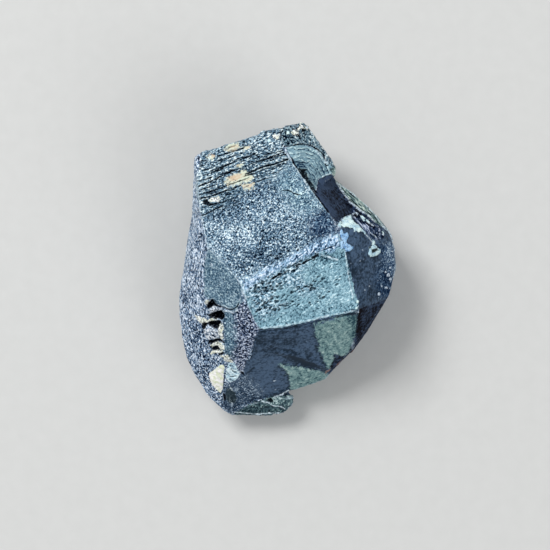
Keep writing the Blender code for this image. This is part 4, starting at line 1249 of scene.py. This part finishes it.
# %% Coats of the band, the ridge and the neck
ACROSS_RIDGE = math.radians(62)
band = grainy(4.6, 0.5, (30, 58, 74), (112, 148, 164), (151, 188, 202), (210, 238, 246),
              more=-0.03)
pitted = grainy(6.2, 1.05, (10, 26, 42), (92, 130, 152), (144, 180, 202), (218, 240, 250),
                at=turned_place(PIT_ANGLE, drawn_out=1.3), more=0.03)
strip = grainy(5.4, 1.0, (24, 48, 76), (114, 148, 178), (162, 194, 224), (226, 240, 254),
               at=turned_place(ACROSS_RIDGE, drawn_out=1.9), more=0.03)
surface = cover(surface, band, "band", tear=0.12)
surface = cover(surface, pitted, "pitted", tear=1.6, softness=0.5)
surface = cover(surface, strip, "ridge_strip", tear=1.1, softness=0.22)

neck = grainy(6.8, 1.35, (8, 12, 28), (68, 84, 112), (124, 142, 172), (204, 214, 232),
              more=-0.01)
even = grainy(6.8, 1.05, (44, 68, 88), (92, 120, 140), (117, 145, 164), (180, 204, 214),
              more=0.02)
surface = cover(surface, neck, "neck", tear=0.6, softness=0.1)
surface = cover(surface, even, "smooth", tear=0.4, softness=0.06)
surface = cover(surface, even, "neck_smooth", tear=1.2, softness=0.3)
print("band, ridge and neck:", len(tree.nodes), "nodes so far")

# %% [markdown]
# ## The shoulder and the breaks
# The shoulder is granular and greyer, and its scar is layered. The big break and the block are
# glassy and dark, the steep step and the lower flank darker still: a darker copy of the same glassy
# finish, as painted shade on these steep faces. A few granular zones lie on the breaks: the foot, a
# dull patch, the outer rim of the block, and the crevice above it, whose dark colours are painted
# shade.

# %% Coats of the shoulder and the breaks
DOWN_CREVICE = math.radians(-42)
shoulder = grainy(5.6, 0.95, (8, 18, 30), (84, 110, 126), (132, 158, 170), (218, 230, 230),
                  more=-0.06)
scar = finish(layered_scar, Depth=stored("shell_depth"), Lift=lift,
              Line=paint(34, 56, 78), Body=paint(118, 148, 162), Lip=paint(186, 212, 216))
surface = cover(surface, shoulder, "shoulder", tear=0.25)
surface = cover(surface, scar, "shell", tear=0.12)

dark = finish(glassy_break, Lift=lift, Specks=0.01, Gloss=0.2, Deep=paint(30, 44, 58),
              Veil=paint(74, 94, 118), Speck=paint(140, 164, 190))
# A darker copy of the glassy finish, as painted shade on the steep step and the lower flank.
black = finish(glassy_break, Lift=lift, Specks=-0.03, Gloss=0.05, Deep=paint(18, 17, 23),
               Veil=paint(60, 74, 96), Speck=paint(100, 106, 130))
# The dark colours of the crevice are painted shade in the recess.
crevice = grainy(3.2, 1.0, (14, 20, 34), (36, 50, 74), (82, 100, 130), (184, 196, 218),
                 at=turned_place(DOWN_CREVICE, drawn_out=3.0), more=-0.06)
foot = grainy(7.0, 0.8, (18, 28, 42), (58, 76, 96), (88, 108, 130), (170, 188, 204), more=-0.03)
dull = grainy(6.0, 0.5, (22, 30, 36), (46, 58, 66), (60, 74, 82), (110, 124, 130))
rim = grainy(5.6, 0.9, (20, 36, 58), (54, 76, 102), (86, 110, 138), (170, 192, 208), more=-0.10)
surface = cover(surface, dark, "dark_break", tear=0.25)
surface = cover(surface, foot, "foot", tear=1.6, softness=0.5)
surface = cover(surface, dull, "dull_patch", tear=0.3, softness=0.06)
surface = cover(surface, rim, "block_rim", tear=1.2, softness=0.4)
surface = cover(surface, black, "black", tear=0.12)
surface = cover(surface, crevice, "crevice", tear=0.3, softness=0.06)
print("shoulder and breaks:", len(tree.nodes), "nodes so far")

# %% [markdown]
# ## Scales, ledges and crusts
# What lies on a face covers it: the greenish scales, the toe and the shelf first, then the pale
# ledges, and the crusts last.

# %% Coats of the scales, the ledges and the crusts
ALONG_SHELF = math.radians(-44)
scale = grainy(4.0, 0.6, (52, 76, 86), (104, 133, 136), (128, 157, 157), (164, 188, 184))
toe = grainy(4.4, 0.6, (24, 36, 44), (60, 80, 88), (94, 118, 122), (170, 192, 192), more=-0.08)
shelf = grainy(4.4, 0.95, (22, 38, 46), (100, 124, 126), (144, 168, 164), (206, 222, 212),
               at=turned_place(ALONG_SHELF, drawn_out=3.0))
surface = cover(surface, scale, "scale", tear=0.8, softness=0.1)
surface = cover(surface, toe, "toe", tear=0.3)
surface = cover(surface, shelf, "shelf", tear=0.15)

ledge = grainy(5.8, 1.35, (18, 28, 44), (124, 142, 164), (180, 194, 210), (240, 244, 248),
               more=0.1)
veined = grainy(3.2, 1.1, (30, 46, 64), (150, 182, 202), (182, 212, 226), (220, 240, 246),
                more=0.1)
tan = crusty(0.05, (208, 218, 200), (196, 174, 148), (60, 74, 88),
             at=turned_place(GROWTH_ANGLE, drawn_out=3.0))
cream = crusty(0.12, (242, 246, 244), (214, 218, 196), (52, 62, 74))
patch = crusty(-0.04, (246, 244, 244), (214, 222, 186), (150, 150, 130))
white = crusty(0.02, (222, 244, 242), (168, 204, 222), (90, 110, 120))
blue = crusty(0.06, (178, 216, 248), (104, 152, 206), (44, 70, 104))
surface = cover(surface, ledge, "ledge", tear=0.3)
surface = cover(surface, veined, "veined", tear=0.2)
surface = cover(surface, tan, "tan_crust", tear=0.7, softness=0.12)
surface = cover(surface, cream, "cream_crust", tear=0.5)
surface = cover(surface, patch, "cream_patch", tear=0.12)
surface = cover(surface, blue, "blue_crust", tear=0.25)
surface = cover(surface, white, "white_crust", tear=0.25)
print("scales, ledges and crusts:", len(tree.nodes), "nodes so far")

# %% [markdown]
# ## The shader
# Marks that lie across all faces are mixed in last: a painted highlight on the convex edges, the
# rims painted pale as highlights, the crumbs, and painted shade in grooves, pits and holes. The
# height goes through one Bump node.
# Uraninite is only just metallic, so the shader stays a dielectric. Its own reflection is turned
# off, and the coat gives all the gloss, because a coat can differ from place to place.

# %% Finish the material and put it on
# This pale colour on the convex edges is a painted highlight.
EDGE_HIGHLIGHT = paint(176, 192, 206)
# This pale colour on the rims is a painted highlight.
RIM_HIGHLIGHT = paint(206, 222, 232)
CRUMB = paint(196, 210, 224)
RUST = paint(176, 132, 112)
# This near black is painted shade in grooves, pits and holes.
SHADE_IN_HOLLOWS = paint(9, 13, 22)
BUMP_HEIGHT = 0.06                          # mm that a height of 1 stands for
patchy = add(tree, "TexNoise", {"Vector": place, "Scale": 3.0, "Detail": 4.0}).outputs[0]
speckled = add(tree, "TexNoise", {"Vector": place, "Scale": 7.0, "Detail": 2.0}).outputs[0]
LEAST_SHARE = 0.15                          # of a mark, where the breaking noise is low
MARKS = [              # stored number, start, full, colour, most, breaking noise, low, high
    ("wear_and_highlight", 0.35, 1.0, EDGE_HIGHLIGHT, 0.45, patchy, 0.42, 0.62),
    ("rusty", 0.35, 0.9, RUST, 0.5, patchy, 0.34, 0.54),
    ("bright", 0.1, 0.6, RIM_HIGHLIGHT, 0.9, speckled, 0.40, 0.56),
    ("crumbs", 0.25, 0.55, CRUMB, 0.9, speckled, 0.30, 0.50),
    ("painted_shade", 0.15, 0.7, SHADE_IN_HOLLOWS, 0.95, speckled, 0.22, 0.44),
]
shown = surface["Color"]
for name, start, full, colour, most, breaking, low, high in MARKS:
    mark = maths(tree, "MULTIPLY", rise(tree, stored(name), start, full),
                 rise(tree, breaking, low, high, LEAST_SHARE * most, most))
    shown = blend_colours(tree, mark, shown, colour)
coat = maths(tree, "MULTIPLY", surface["Coat"], rise(tree, stored("painted_shade"), 0.1, 0.5, 1.0, 0.0))
bump = add(tree, "Bump", {"Height": surface["Height"], "Strength": 1.0,
                          "Distance": BUMP_HEIGHT * MM})
shader = add(tree, "BsdfPrincipled",
             {"Base Color": shown, "Roughness": surface["Roughness"], "IOR": 1.5,
              "Specular IOR Level": 0.0, "Coat Weight": coat, "Coat Roughness": 0.22,
              "Normal": bump.outputs["Normal"]})
output = add(tree, "OutputMaterial")
tree.links.new(shader.outputs[0], output.inputs["Surface"])
crystal.data.materials.append(material)
print("material:", len(tree.nodes), "nodes")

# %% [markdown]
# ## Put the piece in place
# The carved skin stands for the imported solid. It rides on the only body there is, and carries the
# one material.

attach(crystal, "root")
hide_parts("uraninite_crystal")
triangles = sum(len(face.vertices) - 2 for face in mesh.polygons)
print("crystal surface:", triangles, "triangles")

# %% [markdown]
# ## Studio
# The crystal lies on a pale floor under a soft, broad key light from the upper left, with a
# weaker fill from the lower right. The world adds an even glow.

# %% Floor, lights and world
FLOOR_SIZE = 1.2                            # in metres
PAPER, FIBRE = paint(188, 188, 186), paint(194, 194, 192)
GLOW_COLOUR, GLOW_STRENGTH = (0.94, 0.97, 1.0, 1.0), 0.5
bpy.ops.object.select_all(action="DESELECT")
bpy.ops.mesh.primitive_plane_add(size=FLOOR_SIZE)
floor = bpy.context.object
floor.name = "floor"
paper = bpy.data.materials.new("pale_paper")
paper.use_nodes = True
paper_shader = paper.node_tree.nodes["Principled BSDF"]
fibre = add(paper.node_tree, "TexNoise",
            {"Vector": add(paper.node_tree, "TexCoord").outputs["Object"], "Scale": 900.0})
paper_colour = blend_colours(paper.node_tree, fibre.outputs[0], PAPER, FIBRE)
paper.node_tree.links.new(paper_colour, paper_shader.inputs["Base Color"])
paper_shader.inputs["Roughness"].default_value = 0.85
floor.data.materials.append(paper)


def soft_light(name, spot, size, power):
    """A square area light that faces the crystal; sizes in metres, power in watts."""
    light = bpy.data.lights.new(name, "AREA")
    light.size = size
    light.energy = power
    lamp = bpy.data.objects.new(name, light)
    lamp.location = spot
    lamp.rotation_euler = (-Vector(spot)).to_track_quat("-Z", "Y").to_euler()
    lamp.visible_camera = False
    bpy.context.scene.collection.objects.link(lamp)


soft_light("key", (-0.22, 0.24, 0.42), 0.20, 2.4)
soft_light("fill", (0.30, -0.28, 0.34), 0.30, 0.9)
world = bpy.data.worlds.new("studio")
world.use_nodes = True
glow = world.node_tree.nodes["Background"]
glow.inputs["Color"].default_value = GLOW_COLOUR
glow.inputs["Strength"].default_value = GLOW_STRENGTH
bpy.context.scene.world = world
bpy.context.scene.view_settings.view_transform = "Standard"

# %% [markdown]
# ## Camera
# The crystal is shown lying down and seen from straight above, with a long lens so that its
# faces keep their true proportions.

# %% Look straight down
LENS = 155.0                                # focal length, in mm
CAMERA_SPOT = (-1.02 * MM, -0.30 * MM, 200.0 * MM)
camera_data = bpy.data.cameras.new("camera")
camera_data.lens = LENS
camera_data.clip_start = 0.01
camera = bpy.data.objects.new("camera", camera_data)
camera.location = CAMERA_SPOT
bpy.context.scene.collection.objects.link(camera)
bpy.context.scene.camera = camera
print("camera at", [round(value / MM, 2) for value in camera.location], "mm")
